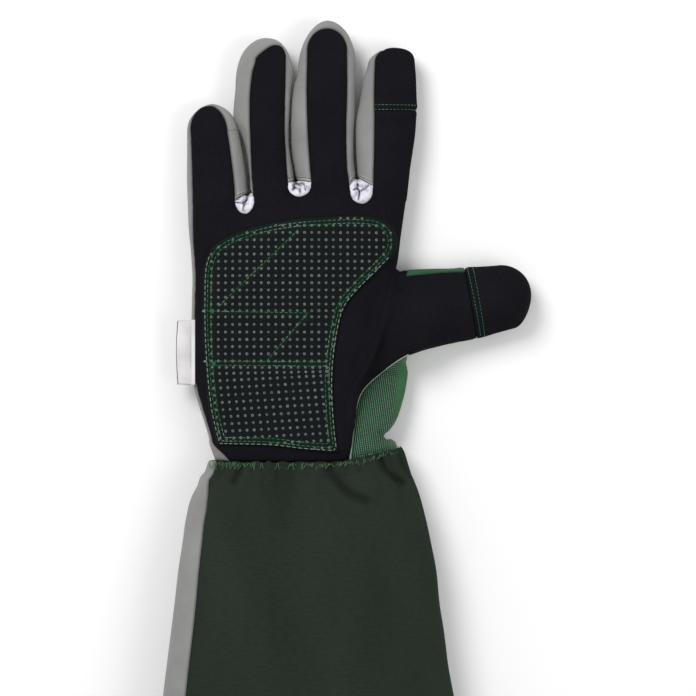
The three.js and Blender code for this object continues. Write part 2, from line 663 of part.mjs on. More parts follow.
function backFinger(index, row, side) {
  const p = fingerPoint(index, 'back', row, side);
  return row === 0 ? { ...p, z: domeBottom(palmReach(p.x, p.y), PALM_WAIST) } : { ...p, z: fingerBottom(index, p) };
}

function frontThumb(station, side) {
  const p = thumbPoint('strip', station, side);
  return { ...p, z: thumbTop(station, p) };
}

function backThumb(station, side) {
  const p = thumbPoint('back', station, side);
  return { ...p, z: thumbBottom(station, p) };
}

const range = (count) => Array.from({ length: count }, (_, i) => i);
const fingerRowCount = (index) => FINGER_ROWS[index] + CAP_ROWS;

function addSheets(skin) {
  const palmRows = (point) => ROW_SHARES.map((_, i) => LINES.map((_line, j) => point(i, j)));
  skin.grid(palmRows(frontPalm), () => 'palm_panel');
  skin.grid(palmRows(backPalm).map((row) => row.reverse()), () => 'back_panel');
  FINGERS.forEach((finger, index) => {
    const sides = range(STRIP_COLUMNS + 1).map((j) => (2 * j) / STRIP_COLUMNS - 1);
    const rows = range(fingerRowCount(index) + 1);
    const front = rows.map((i) => sides.map((side) => frontFinger(index, i, side)));
    const back = rows.map((i) => sides.map((side) => backFinger(index, i, side)));
    const isCap = (i) => finger.name === 'index' && i >= FINGER_ROWS[index];
    skin.grid(front, (i) => (isCap(i) ? 'index_tip' : 'palm_panel'));
    skin.grid(back.map((row) => row.reverse()), () => `finger_back_${finger.name}`);
  });
  const stations = range(thumbStations + 1);
  const sides = range(PALM_ROWS_BESIDE_THUMB + 1).map(thumbSide);
  const thumbRows = (point) => [...sides].reverse().map((side) => stations.map((s) => point(s, side)));
  const isThumbCap = (s) => s >= THUMB_STATIONS.length - 1;
  skin.grid(thumbRows(frontThumb), (i, s) => (isThumbCap(s) ? 'thumb_tip' : 'thumb_front'));
  const back = thumbRows(backThumb).map((row) => row.reverse());
  skin.grid(back, () => 'thumb_back');
}

// The side strip follows the whole outline. Each stop has its front edge, widest point and back edge.
function outlineStops() {
  const stops = [];
  const last = FINGERS.length - 1;
  const add = (front, out, back, waist, reach, name) => stops.push({ front, out, back, waist, reach, name });
  ROW_SHARES.forEach((share, i) => {
    if (i === lastRow) return;
    const y = WRIST_Y + share * PALM_LENGTH;
    const front = frontPalm(i, 0);
    add(front, { x: palmEdge('left', share), y }, backPalm(i, 0), PALM_WAIST, palmReach(front.x, front.y), 'ulnar_side');
  });
  const finger = (index, row, side, name) => {
    const out = fingerPoint(index, 'outline', row, side);
    const front = frontFinger(index, row, side);
    const slotted = (side > 0 && index < last) || (side < 0 && index > 0);
    const slot = slotted && Math.abs(side) === 1 ? SLOT_WIDTH / 2 : 0;
    const reach = lerp(palmReach(front.x, front.y), fingerReach(FINGERS[index], front.x, front.at), fingerBlend(front.at));
    const shown = row === 0 && slot ? 0.35 : reach;
    add(front, { x: out.x - Math.sign(side) * slot, y: out.y }, backFinger(index, row, side), fingerWaist(out.at), shown, name);
  };
  FINGERS.forEach((each, index) => {
    const rows = fingerRowCount(index);
    const left = index === 0 ? 'ulnar_side' : `fourchette_${each.name}_outer`;
    const right = index === last ? 'palm_panel' : `fourchette_${each.name}_inner`;
    const leftWeb = index > 0 ? WEBS[index - 1].name : left;
    const rightWeb = index < last ? WEBS[index].name : right;
    const tipName = index === last ? 'index_tip' : left;
    for (let i = 0; i < rows; i += 1) finger(index, i, -1, i === 0 ? leftWeb : left);
    for (let j = 0; j < STRIP_COLUMNS; j += 1) finger(index, rows, (2 * j) / STRIP_COLUMNS - 1, tipName);
    for (let i = rows; i > 0; i -= 1) {
      const cap = index === last && i > FINGER_ROWS[index];
      finger(index, i, 1, cap ? 'index_tip' : i === 1 ? rightWeb : right);
    }
    finger(index, 0, 1, rightWeb);
    if (index === last) return;
    for (let j = 1; j < WEB_COLUMNS; j += 1) {
      const line = { web: index, share: j / WEB_COLUMNS };
      const column = LINES.findIndex((l) => l.web === index && l.share === line.share);
      const out = lineEnd(line, 'outline');
      add(frontPalm(lastRow, column), out, backPalm(lastRow, column), fingerWaist(0), 0.35, rightWeb);
    }
  });
  for (let i = lastRow - 1; i > PALM_ROWS_BESIDE_THUMB; i -= 1) {
    const share = ROW_SHARES[i];
    const front = frontPalm(i, lastColumn);
    const out = { x: palmEdge('right', share), y: front.y };
    add(front, out, backPalm(i, lastColumn), PALM_WAIST, palmReach(front.x, front.y), 'palm_panel');
  }
  const thumb = (station, side, name) => {
    const front = frontThumb(station, side);
    const reach = lerp(palmReach(front.x, front.y), thumbReach(front.x, front.y), thumbBlend(station));
    const out = thumbPoint('outline', station, side);
    add(front, out, backThumb(station, side), thumbWaist(station), reach, name);
  };
  const cap = THUMB_STATIONS.length - 1;
  for (let s = 0; s < thumbStations; s += 1) thumb(s, 0, s >= cap ? 'thumb_tip' : 'thumb_back');
  for (let i = 0; i < PALM_ROWS_BESIDE_THUMB; i += 1) thumb(thumbStations, thumbSide(i), 'thumb_tip');
  for (let s = thumbStations; s > 0; s -= 1) {
    thumb(s, 1, s > cap ? 'thumb_tip' : s > THUMB_FAN ? 'thumb_lower' : 'thumb_base');
  }
  return stops;
}

// Points of the side strip at one stop, from its front edge over the widest level to its back edge.
function stopProfile(stop) {
  const points = [stop.front];
  const start = Math.asin(THREE.MathUtils.clamp(stop.reach, 0, 0.985));
  for (let m = 1; m <= SIDE_BANDS; m += 1) {
    const angle = lerp(start, Math.PI / 2, m / SIDE_BANDS);
    const share = (Math.sin(angle) - Math.sin(start)) / (1 - Math.sin(start));
    points.push({
      x: lerp(stop.front.x, stop.out.x, share),
      y: lerp(stop.front.y, stop.out.y, share),
      z: stop.waist + ((stop.front.z - stop.waist) * Math.cos(angle)) / Math.cos(start),
    });
  }
  for (let m = 1; m < SIDE_BANDS; m += 1) {
    const angle = (Math.PI / 2) * (m / SIDE_BANDS);
    points.push({
      x: lerp(stop.back.x, stop.out.x, Math.cos(angle)),
      y: lerp(stop.back.y, stop.out.y, Math.cos(angle)),
      z: lerp(stop.waist, stop.back.z, Math.sin(angle)),
    });
  }
  points.push(stop.back);
  return points;
}

// The black front wraps round the thumb's lower edge down to its widest level.
function sideName(name, band) {
  if (name === 'thumb_lower') return band < SIDE_BANDS ? 'thumb_front' : 'thumb_back';
  return name;
}

// Draws the wrist's edge in on all sides, so that the cuff passes round it.
function tuckWrist(point) {
  const share = 1 - smooth(point.y, WRIST_Y, WRIST_Y + TUCK_REACH);
  const middle = (palmEdge('left', 0) + palmEdge('right', 0)) / 2;
  const half = (palmEdge('right', 0) - palmEdge('left', 0)) / 2;
  const height = readTable(PALM_SECTIONS, 'height', 0) * PALM_HEIGHT;
  point.x -= (point.x - middle) * share * (WRIST_TUCK / half);
  point.z += share * WRIST_TUCK * (1 - (2 * point.z) / height);
}

function handSkin() {
  const skin = new Skin();
  addSheets(skin);
  const stops = outlineStops();
  const profiles = stops.map(stopProfile);
  const bands = range(2 * SIDE_BANDS + 1);
  skin.grid(bands.map((m) => profiles.map((profile) => profile[m])), (m, k) => sideName(stops[k].name, m));
  skin.points.forEach(tuckWrist);
  return skin;
}

// The cuff, as a skin of its own: rows from the gathered edge to the mouth, points round it.
function cuffPoint(at, angle) {
  const left = readTable(CUFF_SECTIONS, 'left', at) * CUFF_WIDTH;
  const right = readTable(CUFF_SECTIONS, 'right', at) * CUFF_WIDTH;
  const height = lerp(CUFF_WRIST_HEIGHT, CUFF_MOUTH_HEIGHT, at);
  const waist = lerp(PALM_WAIST, CUFF_WAIST, smooth(at, 0, 0.4));
  const power = DOME_POWER;
  const across = Math.sign(Math.cos(angle)) * Math.abs(Math.cos(angle)) ** (2 / power);
  const reach = Math.min(Math.abs(across), 1);
  const half = (right - left) / 2;
  const x = (left + right) / 2 + half * across;
  const upper = Math.sin(angle) >= 0;
  const lift = Math.abs(Math.sin(angle)) ** (2 / power);
  const z = upper ? waist + (height - waist) * lift : domeBottom(reach, waist);
  const fade = Math.exp(-(((at * CUFF_LENGTH) / GATHER_REACH) ** 2));
  const fold = upper ? GATHER_DEPTH * fade * Math.sin(GATHER_COUNT * angle) ** 2 : 0;
  const y = WRIST_Y + CUFF_OVERLAP - at * CUFF_LENGTH;
  return { x: x + fold * Math.cos(angle), y, z: z + fold * Math.sin(angle) };
}

function cuffSkin() {
  const skin = new Skin();
  const edge = Math.acos(CUFF_STRIP_SHARE ** 1.15);
  const start = Math.PI - edge;
  const stripAngles = range(CUFF_STRIP_STEPS + 1).map((k) => start + (2 * edge * k) / CUFF_STRIP_STEPS);
  const backAngles = range(CUFF_BACK_STEPS).map((k) => Math.PI + edge + (start * k) / CUFF_BACK_STEPS);
  const frontAngles = range(CUFF_FRONT_STEPS + 1).map((k) => 2 * Math.PI + (start * k) / CUFF_FRONT_STEPS);
  const rows = (angles) => CUFF_ROWS.map((at) => angles.map((angle) => cuffPoint(at, angle)));
  skin.grid(rows(stripAngles), () => 'cuff_side_strip');
  skin.grid(rows([...backAngles, ...frontAngles]), () => 'cuff');
  return skin;
}

// The grip patch lies on the palm. Its four edges are smooth curves, and the grid between
// them is their sum less the straight one between the corners.
function curvePoints(points) {
  const curve = new THREE.CatmullRomCurve3(
    points.map(([x, y]) => new THREE.Vector3(x * PALM_WIDTH, y * PALM_LENGTH, 0)),
  );
  return (share) => curve.getPointAt(share);
}

function patchSkin() {
  const skin = new Skin();
  const [left, right, top, bottom] = [PATCH_LEFT, PATCH_RIGHT, PATCH_TOP, PATCH_BOTTOM].map(curvePoints);
  const place = (a, b) => {
    const point = new THREE.Vector3();
    point.addScaledVector(left(b), 1 - a);
    point.addScaledVector(right(b), a);
    point.addScaledVector(bottom(a), 1 - b);
    point.addScaledVector(top(a), b);
    for (const [corner, weight] of [
      [bottom(0), (1 - a) * (1 - b)], [bottom(1), a * (1 - b)], [top(0), (1 - a) * b], [top(1), a * b],
    ]) point.addScaledVector(corner, -weight);
    return lifted(point.x, point.y, PATCH_GAP + PATCH_WALL);
  };
  const rows = range(PATCH_ROWS + 1).map((i) => {
    return range(PATCH_COLUMNS + 1).map((j) => place(j / PATCH_COLUMNS, i / PATCH_ROWS));
  });
  skin.grid(rows, () => 'palm_grip_patch');
  return skin;
}

// A point above the palm, moved off it along its normal.
function lifted(x, y, distance) {
  const step = 0.5;
  const normal = new THREE.Vector3(
    palmTop(x - step, y) - palmTop(x + step, y),
    palmTop(x, y - step) - palmTop(x, y + step),
    2 * step,
  ).normalize();
  return {
    x: x + normal.x * distance,
    y: y + normal.y * distance,
    z: palmTop(x, y) + normal.z * distance,
  };
}

// The label is a folded tape that stands out of the outer side seam.
function labelGeometry() {
  const at = 0.414;
  const x = palmEdge('left', at) - SEAM_GAP;
  const y = WRIST_Y + at * PALM_LENGTH;
  const shape = new THREE.Shape();
  const half = LABEL_LENGTH / 2;
  shape.moveTo(0, -half);
  shape.lineTo(0, half);
  shape.lineTo(-LABEL_WIDTH, half - 0.8);
  shape.quadraticCurveTo(-LABEL_WIDTH - 1.2, 0, -LABEL_WIDTH, -half);
  shape.closePath();
  const geometry = new THREE.ExtrudeGeometry(shape, { depth: LABEL_WALL, bevelEnabled: false, curveSegments: 6 });
  geometry.translate(x, y, PALM_WAIST - LABEL_WALL / 2);
  return geometry;
}

const gauntlet = new THREE.Group();

function addMesh(name, geometry, finish) {
  const material = new THREE.MeshStandardMaterial({ ...FINISHES[finish], metalness: 0 });
  const mesh = new THREE.Mesh(geometry, material);
  mesh.name = name;
  gauntlet.add(mesh);
}

const HAND_PANELS = [
  { name: 'palm_panel', wall: SUEDE_WALL, finish: 'suede' },
  { name: 'index_tip', wall: SUEDE_WALL, finish: 'suede' },
  { name: 'thumb_front', wall: SUEDE_WALL, finish: 'suede' },
  { name: 'thumb_tip', wall: SUEDE_WALL, finish: 'suede' },
  { name: 'thumb_back', wall: CLOTH_WALL, finish: 'green' },
  { name: 'thumb_base', wall: CLOTH_WALL, finish: 'green' },
  { name: 'back_panel', wall: CLOTH_WALL, finish: 'green' },
  { name: 'ulnar_side', wall: CLOTH_WALL, finish: 'grey' },
  ...FINGERS.map((finger) => ({ name: `finger_back_${finger.name}`, wall: CLOTH_WALL, finish: 'grey' })),
  ...['pinky_inner', 'ring_outer', 'ring_inner', 'middle_outer', 'middle_inner', 'index_outer'].map((place) => {
    return { name: `fourchette_${place}`, wall: CLOTH_WALL, finish: 'grey' };
  }),
  ...WEBS.map((web) => ({ name: web.name, wall: CLOTH_WALL, finish: 'web' })),
];

const hand = handSkin();
const handNormals = hand.normals();
for (const { name, wall, finish } of HAND_PANELS) {
  addMesh(name, panelGeometry(hand, handNormals, name, wall), finish);
}

const patch = patchSkin();
addMesh('palm_grip_patch', panelGeometry(patch, patch.normals(), 'palm_grip_patch', PATCH_WALL), 'grip');

const cuff = cuffSkin();
const cuffNormals = cuff.normals();
addMesh('cuff', panelGeometry(cuff, cuffNormals, 'cuff', CUFF_WALL), 'cuff');
addMesh('cuff_side_strip', panelGeometry(cuff, cuffNormals, 'cuff_side_strip', CUFF_WALL), 'grey');

addMesh('side_label', labelGeometry(), 'label');

export default gauntlet;
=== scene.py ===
import math

import bpy
import numpy as np
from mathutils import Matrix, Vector


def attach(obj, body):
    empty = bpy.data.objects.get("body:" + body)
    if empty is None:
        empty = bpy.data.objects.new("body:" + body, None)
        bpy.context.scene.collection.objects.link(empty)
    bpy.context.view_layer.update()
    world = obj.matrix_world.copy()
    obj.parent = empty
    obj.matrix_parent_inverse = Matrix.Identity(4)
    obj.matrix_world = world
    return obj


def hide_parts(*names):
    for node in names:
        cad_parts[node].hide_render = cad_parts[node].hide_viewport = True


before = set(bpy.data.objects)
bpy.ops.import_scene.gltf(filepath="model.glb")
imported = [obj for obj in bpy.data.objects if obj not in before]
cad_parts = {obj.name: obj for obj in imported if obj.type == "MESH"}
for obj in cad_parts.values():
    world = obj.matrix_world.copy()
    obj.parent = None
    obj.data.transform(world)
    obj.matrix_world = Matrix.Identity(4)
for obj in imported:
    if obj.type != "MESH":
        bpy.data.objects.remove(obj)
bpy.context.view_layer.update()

MM = 0.001

# Hand
PALM_LENGTH = 128
PALM_WIDTH = 107
PALM_HEIGHT = 33
FINGER_HEIGHT = 20.5
FINGERTIP_HEIGHT = 16.5
FINGER_BLEND_END = 0.32
THUMB_LENGTH = 66
THUMB_WIDTH = 36
THUMB_HEIGHT = 23
PALM_WAIST = 12
FINGER_WAIST = 12.5
THUMB_WAIST = 9.5
BACK_INSET = 3.4
PALM_BACK_INSET = 0.05 * PALM_WIDTH
FINGER_BACK_INSET = 0.1
FINGER_BACK_TIP = 0.95
THUMB_BACK_TIP = 0.94
THUMB_BACK_SAG = 0.07
WEB_VALLEY = 5
VALLEY_WIDTH = 8
VALLEY_LENGTH = 20
WRIST_Y = -PALM_LENGTH / 2
DOME_POWER = 2.4
DOME_FOOT_POWER = 2.2
FLOOR_SHARE = 0.55
WIDEST_REACH = 0.985
SLOT_WIDTH = 0.9
WEB_REACH = 0.35
WEB_SAG_POWER = 0.6
TIP_STRIP_ENDS = -0.45
SHOULDER_EASE = 0.05

# Cloth and leather
SUEDE_WALL = 1.4
CLOTH_WALL = 1.1
CUFF_WALL = 1.2
PATCH_WALL = 1.5
SEAM_GAP = 0.42
PATCH_GAP = 0.3
EDGE_ROLL = 0.9
FINE_PUCKER = 0.12

# Cuff
CUFF_LENGTH = 193
CUFF_WIDTH = 155
CUFF_WRIST_HEIGHT = 36.8
CUFF_MOUTH_HEIGHT = 50
CUFF_WAIST = 21
CUFF_STRIP_SHARES = (0.925, 0.84)
CUFF_STRIP_WIDENS = 0.14
GATHER_DEPTH = 1.3
GATHER_COUNT = 11
GATHER_REACH = 26
CUFF_EDGE = 0.4
CUFF_EDGE_RISE = 6.6
EDGE_SCALLOP = 0.4
EDGE_SCALLOPS = 44
CUFF_EDGE_DIP = 0.5
HEM = 17.0
WRIST_TUCK = CUFF_WALL + 1.0
TUCK_REACH = 9
CUFF_ROWS = 120
CUFF_FRONT_STEPS = 210
CUFF_BACK_STEPS = 80
CUFF_STRIP_STEPS = 32

# Label
LABEL_LENGTH = 32
LABEL_WIDTH = 6.4
LABEL_AT = 0.414
LABEL_FOLD = 0.45
LABEL_SEWN_IN = 0.5
LABEL_LAP = 1.9
LABEL_CLIMB = 7.6
LABEL_STEPS = 14
LABEL_BOW = 0.6
LABEL_WALL = 0.32

# Fine grids: steps for each row or column of the CAD model
PALM_ROWS_BESIDE_THUMB = 8
PALM_ROWS_ABOVE_THUMB = 4
CAP_ROWS = 4
THUMB_CAP_ROWS = 3
PALM_STEPS = 10
FINGER_STEPS = 7
WEB_ROW_STEPS = 12
THUMB_STEPS = 8
COLUMNS = 24
WEB_COLUMNS = 14
BANDS_UP = 12
BANDS_DOWN = 7
ROW_MARGIN = 0.001


class Table:
    """Rows of numbers with named columns. Between its rows a column is a smooth cubic."""

    def __init__(self, columns, rows):
        rows = np.array(rows, float)
        self.at = rows[:, 0]
        self.column = dict(zip(columns, rows[:, 1:].T))

    def read(self, name, at):
        """Hermite cubic through the rows, its slope at a row taken from the rows beside it."""
        values = self.column[name]
        last = len(values) - 1
        before = np.maximum(np.arange(last + 1) - 1, 0)
        after = np.minimum(np.arange(last + 1) + 1, last)
        slope = (values[after] - values[before]) / (self.at[after] - self.at[before])
        at = np.clip(at, self.at[0], self.at[-1])
        i = np.clip(np.searchsorted(self.at, at, side="right") - 1, 0, last - 1)
        span = self.at[i + 1] - self.at[i]
        t = (at - self.at[i]) / span
        return (
            (2 * t**3 - 3 * t**2 + 1) * values[i]
            + (t**3 - 2 * t**2 + t) * span * slope[i]
            + (3 * t**2 - 2 * t**3) * values[i + 1]
            + (t**3 - t**2) * span * slope[i + 1]
        )


PALM = Table(
    ("left", "leather", "seam", "right", "height"),
    [
        (0.0, -0.403, -0.33, 0.22, 0.467, 1.09),
        (0.035, -0.403, -0.362, 0.22, 0.455, 1.09),
        (0.065, -0.405, -0.39, 0.22, 0.44, 1.09),
        (0.096, -0.41, -0.4, 0.22, 0.432, 1.09),
        (0.192, -0.446, -0.434, 0.22, 0.47, 1.075),
        (0.264, -0.472, -0.46, 0.234, 0.497, 1.06),
        (0.364, -0.488, -0.475, 0.302, 0.508, 1.03),
        (0.502, -0.488, -0.476, 0.362, 0.515, 1.0),
        (0.617, -0.485, -0.474, 0.398, 0.495, 0.97),
        (0.705, -0.483, -0.472, 0.426, 0.456, 0.94),
        (0.816, -0.49, -0.479, 0.445, 0.464, 0.91),
        (0.908, -0.499, -0.483, 0.455, 0.479, 0.865),
        (1.0, -0.504, -0.488, 0.467, 0.495, 0.82),
    ],
)
THUMB_ROOT_AT = 0.705

FINGER_COLUMNS = ("left", "strip_left", "strip_right", "right")
FINGERS = [
    {
        "name": "pinky", "x": -0.385, "y": 0.467, "length": 51, "width": 23.5, "cap": 0.62, "rows": 5,
        "shoulder": 0.74, "strip_shoulder": 0.74, "strip_tip": 0.985, "skew": 0.05,
        "arch": {"outline": (1.9, 1.75), "strip": (2.4, 1.8)},
        "edges": Table(FINGER_COLUMNS, [
            (0.0, -0.542, -0.448, 0.475, 0.76),
            (0.15, -0.555, -0.452, 0.455, 0.735),
            (0.269, -0.562, -0.456, 0.43, 0.712),
            (0.41, -0.562, -0.465, 0.395, 0.668),
            (0.558, -0.562, -0.475, 0.35, 0.61),
            (0.65, -0.562, -0.483, 0.322, 0.565),
            (0.75, -0.56, -0.492, 0.281, 0.497),
            (0.865, -0.552, -0.492, 0.24, 0.405),
        ]),
    },
    {
        "name": "ring", "x": -0.137, "y": 0.498, "length": 79.4, "width": 28.4, "cap": 0.66, "rows": 7,
        "shoulder": 0.755, "strip_shoulder": 0.865, "strip_tip": 0.955, "skew": 0.35,
        "arch": {"outline": (1.9, 2.4), "strip": (1.8, 2.3)},
        "edges": Table(FINGER_COLUMNS, [
            (-0.02, -0.312, -0.25, 0.368, 0.49),
            (0.098, -0.325, -0.273, 0.362, 0.478),
            (0.181, -0.344, -0.295, 0.342, 0.442),
            (0.263, -0.372, -0.306, 0.328, 0.4026),
            (0.346, -0.425, -0.31, 0.314, 0.377),
            (0.429, -0.5, -0.312, 0.302, 0.3726),
            (0.487, -0.585, -0.3135, 0.302, 0.378),
            (0.528, -0.612, -0.3135, 0.303, 0.384),
            (0.594, -0.6, -0.3135, 0.304, 0.392),
            (0.677, -0.577, -0.304, 0.308, 0.405),
            (0.759, -0.5445, -0.28, 0.312, 0.422),
            (0.8, -0.519, -0.26, 0.314, 0.425),
            (0.865, -0.47, -0.2, 0.316, 0.43),
        ]),
    },
    {
        "name": "middle", "x": 0.133, "y": 0.513, "length": 85.8, "width": 30.1, "cap": 0.68, "rows": 8,
        "shoulder": 0.755, "strip_shoulder": 0.83, "strip_tip": 0.955, "skew": 0.0,
        "arch": {"outline": (1.8, 1.95), "strip": (2, 2)},
        "edges": Table(FINGER_COLUMNS, [
            (0.0, -0.495, -0.272, 0.395, 0.495),
            (0.1, -0.518, -0.262, 0.362, 0.484),
            (0.144, -0.533, -0.2746, 0.342, 0.468),
            (0.221, -0.571, -0.29, 0.327, 0.452),
            (0.297, -0.595, -0.305, 0.322, 0.447),
            (0.374, -0.5996, -0.318, 0.321, 0.449),
            (0.45, -0.595, -0.324, 0.323, 0.46),
            (0.527, -0.584, -0.33, 0.331, 0.47),
            (0.603, -0.56, -0.333, 0.335, 0.475),
            (0.641, -0.5385, -0.333, 0.336, 0.475),
            (0.68, -0.5013, -0.332, 0.335, 0.474),
            (0.756, -0.4577, -0.329, 0.332, 0.468),
        ]),
    },
    {
        "name": "index", "x": 0.421, "y": 0.498, "length": 74.5, "width": 28.9, "cap": 0.587, "rows": 6,
        "shoulder": 0.9, "strip_shoulder": 0.9, "strip_tip": 0.99, "skew": 0.0,
        "arch": {"outline": (1.7, 2.7), "strip": (2.7, 2.7)},
        "edges": Table(FINGER_COLUMNS, [
            (0.0, -0.545, -0.308, 0.17, 0.285),
            (0.132, -0.558, -0.288, 0.205, 0.325),
            (0.192, -0.571, -0.283, 0.222, 0.342),
            (0.28, -0.588, -0.274, 0.252, 0.373),
            (0.368, -0.594, -0.271, 0.284, 0.405),
            (0.456, -0.592, -0.266, 0.31, 0.434),
            (0.544, -0.575, -0.266, 0.33, 0.452),
            (0.597, -0.5515, -0.27, 0.335, 0.465),
            (0.632, -0.5335, -0.271, 0.338, 0.463),
            (0.72, -0.49, -0.271, 0.341, 0.456),
            (0.808, -0.4395, -0.267, 0.341, 0.444),
            (0.852, -0.4054, -0.263, 0.341, 0.434),
            (0.9, -0.36, -0.258, 0.335, 0.42),
        ]),
    },
]
LAST_FINGER = len(FINGERS) - 1

HAND_SLOTS = {
    "palm_panel": "suede", "index_tip": "suede_cap", "thumb_front": "suede", "thumb_tip": "suede_cap",
    "thumb_back": "green_cloth", "thumb_base": "green_weave", "back_panel": "green_cloth",
    "ulnar_side": "grey_cloth", "finger_back_pinky": "grey_cloth", "finger_back_ring": "grey_cloth",
    "finger_back_middle": "grey_cloth", "finger_back_index": "grey_cloth",
    "fourchette_pinky_inner": "grey_cloth", "fourchette_ring_outer": "grey_cloth",
    "fourchette_ring_inner": "grey_cloth", "fourchette_middle_outer": "grey_cloth",
    "fourchette_middle_inner": "grey_cloth", "fourchette_index_outer": "grey_cloth",
    "web_pinky_ring": "white_stretch", "web_ring_middle": "white_stretch",
    "web_middle_index": "white_stretch",
}

# White patches: places as shares of the palm, and the share of a finger's first row that they reach up
WEB_FACTS = ("name", "x", "rim", "mid_x", "mid", "slot", "back", "end")
WEBS = [
    dict(zip(WEB_FACTS, facts))
    for facts in (
        ("web_pinky_ring", -0.224, 0.479, -0.247, 0.444, 0.504, 0.49, 5 / 12),
        ("web_ring_middle", -0.009, 0.54, 0.011, 0.509, 0.549, 0.535, 5 / 12),
        ("web_middle_index", 0.27, 0.517, 0.288, 0.482, 0.552, 0.525, 7 / 12),
    )
]

# Thumb stations: up and low bound the black front, out_up and out_low the whole thumb.
THUMB_ROOT = (0.4534 * PALM_WIDTH, 0.2259 * PALM_LENGTH)
THUMB_STATIONS = Table(
    ("up_x", "up_y", "low_x", "low_y", "out_up_x", "out_up_y", "out_low_x", "out_low_y", "back"),
    [
        (0, -0.044, -0.082, -0.378, -2.586, -0.004, 0.034, 0.022, -2.586, 0),
        (1, -0.007, -0.095, -0.352, -2.586, 0.024, 0.007, 0.026, -2.586, 0.65),
        (1.5, 0.011, -0.092, -0.341, -2.443, 0.038, 0.01, -0.008, -2.32, 0.5),
        (2, 0.03, -0.088, -0.33, -2.3, 0.052, 0.014, -0.075, -2.245, 0.36),
        (3, 0.074, -0.068, -0.315, -1.974, 0.083, 0.02, 0.0, -2.01, 0.3),
        (4, 0.126, -0.054, -0.259, -1.64, 0.126, 0.027, 0.055, -1.69, 0.3),
        (5, 0.185, -0.041, -0.106, -1.37, 0.185, 0.031, 0.079, -1.41, 0.3),
        (6, 0.259, -0.027, 0.085, -1.135, 0.259, 0.034, 0.086, -1.165, 0),
        (7, 0.378, -0.007, 0.341, -0.953, 0.378, 0.041, 0.348, -1.014, 0),
        (8, 0.504, 0.0, 0.585, -0.858, 0.504, 0.054, 0.593, -0.926, 0),
    ],
)
THUMB_FAN = 6
THUMB_CAP = 8
THUMB_SHOULDER = {
    "x": 0.8, "up_x": 0.767, "low_x": 0.875, "out_up": 0.083, "out_low": -0.775,
    "up": 0.03, "low": -0.72, "tip": 0.965,
}
THUMB_TIP_SLOPE = math.tan(math.radians(17))
THUMB_BACK_SHOWS = 2.75

# Folds pressed into the palm side: from and to as shares of the palm, depth and width.
FOLDS = [
    (0.37, 0.12, 0.23, -0.3, 1.6, 4.5),
    (0.41, -0.36, 0.3, -0.4, 1.5, 4.0),
    (-0.35, 0.68, -0.44, 0.68, 0.7, 3.5),
    (-0.2, 0.8, -0.09, 0.8, 0.7, 3.5),
    (0.08, 0.84, 0.19, 0.84, 0.7, 3.5),
    (0.38, 0.78, 0.48, 0.78, 0.7, 3.5),
]

CUFF = Table(
    ("left", "right"),
    [
        (0.0, -0.2735, 0.3235),
        (0.02, -0.2815, 0.3335),
        (0.033, -0.291, 0.341),
        (0.046, -0.3065, 0.3484),
        (0.079, -0.3245, 0.366),
        (0.107, -0.336, 0.3806),
        (0.158, -0.353, 0.402),
        (0.196, -0.3595, 0.415),
        (0.277, -0.3735, 0.437),
        (0.359, -0.384, 0.449),
        (0.44, -0.397, 0.465),
        (0.522, -0.411, 0.477),
        (0.603, -0.424, 0.493),
        (0.796, -0.449, 0.522),
        (1.0, -0.468, 0.544),
    ],
)

# Grip patch outline, as shares of PALM_WIDTH and PALM_LENGTH.
PATCH_LEFT = [
    (-0.366, -0.44), (-0.403, -0.306), (-0.429, -0.084), (-0.435, 0.115), (-0.426, 0.255), (-0.392, 0.325),
]
PATCH_TOP = [
    (-0.392, 0.325), (-0.302, 0.368), (-0.133, 0.41), (0.087, 0.433), (0.357, 0.433), (0.43, 0.402),
]
PATCH_RIGHT = [
    (0.183, -0.467), (0.169, -0.367), (0.16, -0.184), (0.179, -0.027), (0.215, 0.088),
    (0.284, 0.161), (0.38, 0.241), (0.438, 0.299), (0.448, 0.352), (0.43, 0.402),
]
PATCH_BOTTOM = [(-0.366, -0.44), (-0.11, -0.444), (0.009, -0.456), (0.183, -0.467)]
PATCH_COLUMNS = 130
PATCH_ROWS = 150

# Quilting lines of the patch, in millimetres from the origin.
QUILT_LINES = [
    [(0.0, 49.2), (-39.4, 11.3)],
    [(-44.4, 9.3), (5.4, 8.3)],
    [(4.4, 7.8), (-15.7, -15.5)],
    [(-43.4, -15.2), (14.7, -15.6)],
    [(-43.2, -17.3), (14.5, -17.7)],
]

# Seam rows of the patch, by how far each lies inside its edge; the outer one ends below the top
EDGE_ROWS = [1.9, 3.6]
OUTER_ROW = 0.65
OUTER_ROW_TOP = 36
SEAM_ROW_DIP = 0.5
SEAM_ROW_WIDTH = 1.1
PATCH_EDGE_DIP = 0.62

# Raised dots, in millimetres; the rows below the lowest quilting line drift and lean
DOT_PITCH = 3.53
DOT_RADIUS = 0.8
DOT_HEIGHT = 0.4
DOTS_START = (-39.18, 40.82)
DOT_COLUMNS = np.arange(-4, 32)
UPPER_DOT_ROWS = np.arange(-4, 17)
LOWER_DOT_ROWS = np.arange(14)
LOWER_DOTS_START = (-38.7, -18.3)
LOWER_DOT_PITCH = 3.56
LOWER_DOTS_DRIFT = 3.2
LOWER_DOTS_LEAN = 0.056

# Threads bunched where a quilting line meets the edge rows
BARTACKS = [(-42.2, 9.2), (-41.4, -16.6)]
KNOTS = [(-46.4, 9.4), (-45.6, -15.4)]

# Where the camera stands over the plan, and the share that plan lengths keep on the high palm
CAMERA_PLAN = np.array([24.5, -8.8])
HIGH_SHARE = 0.987

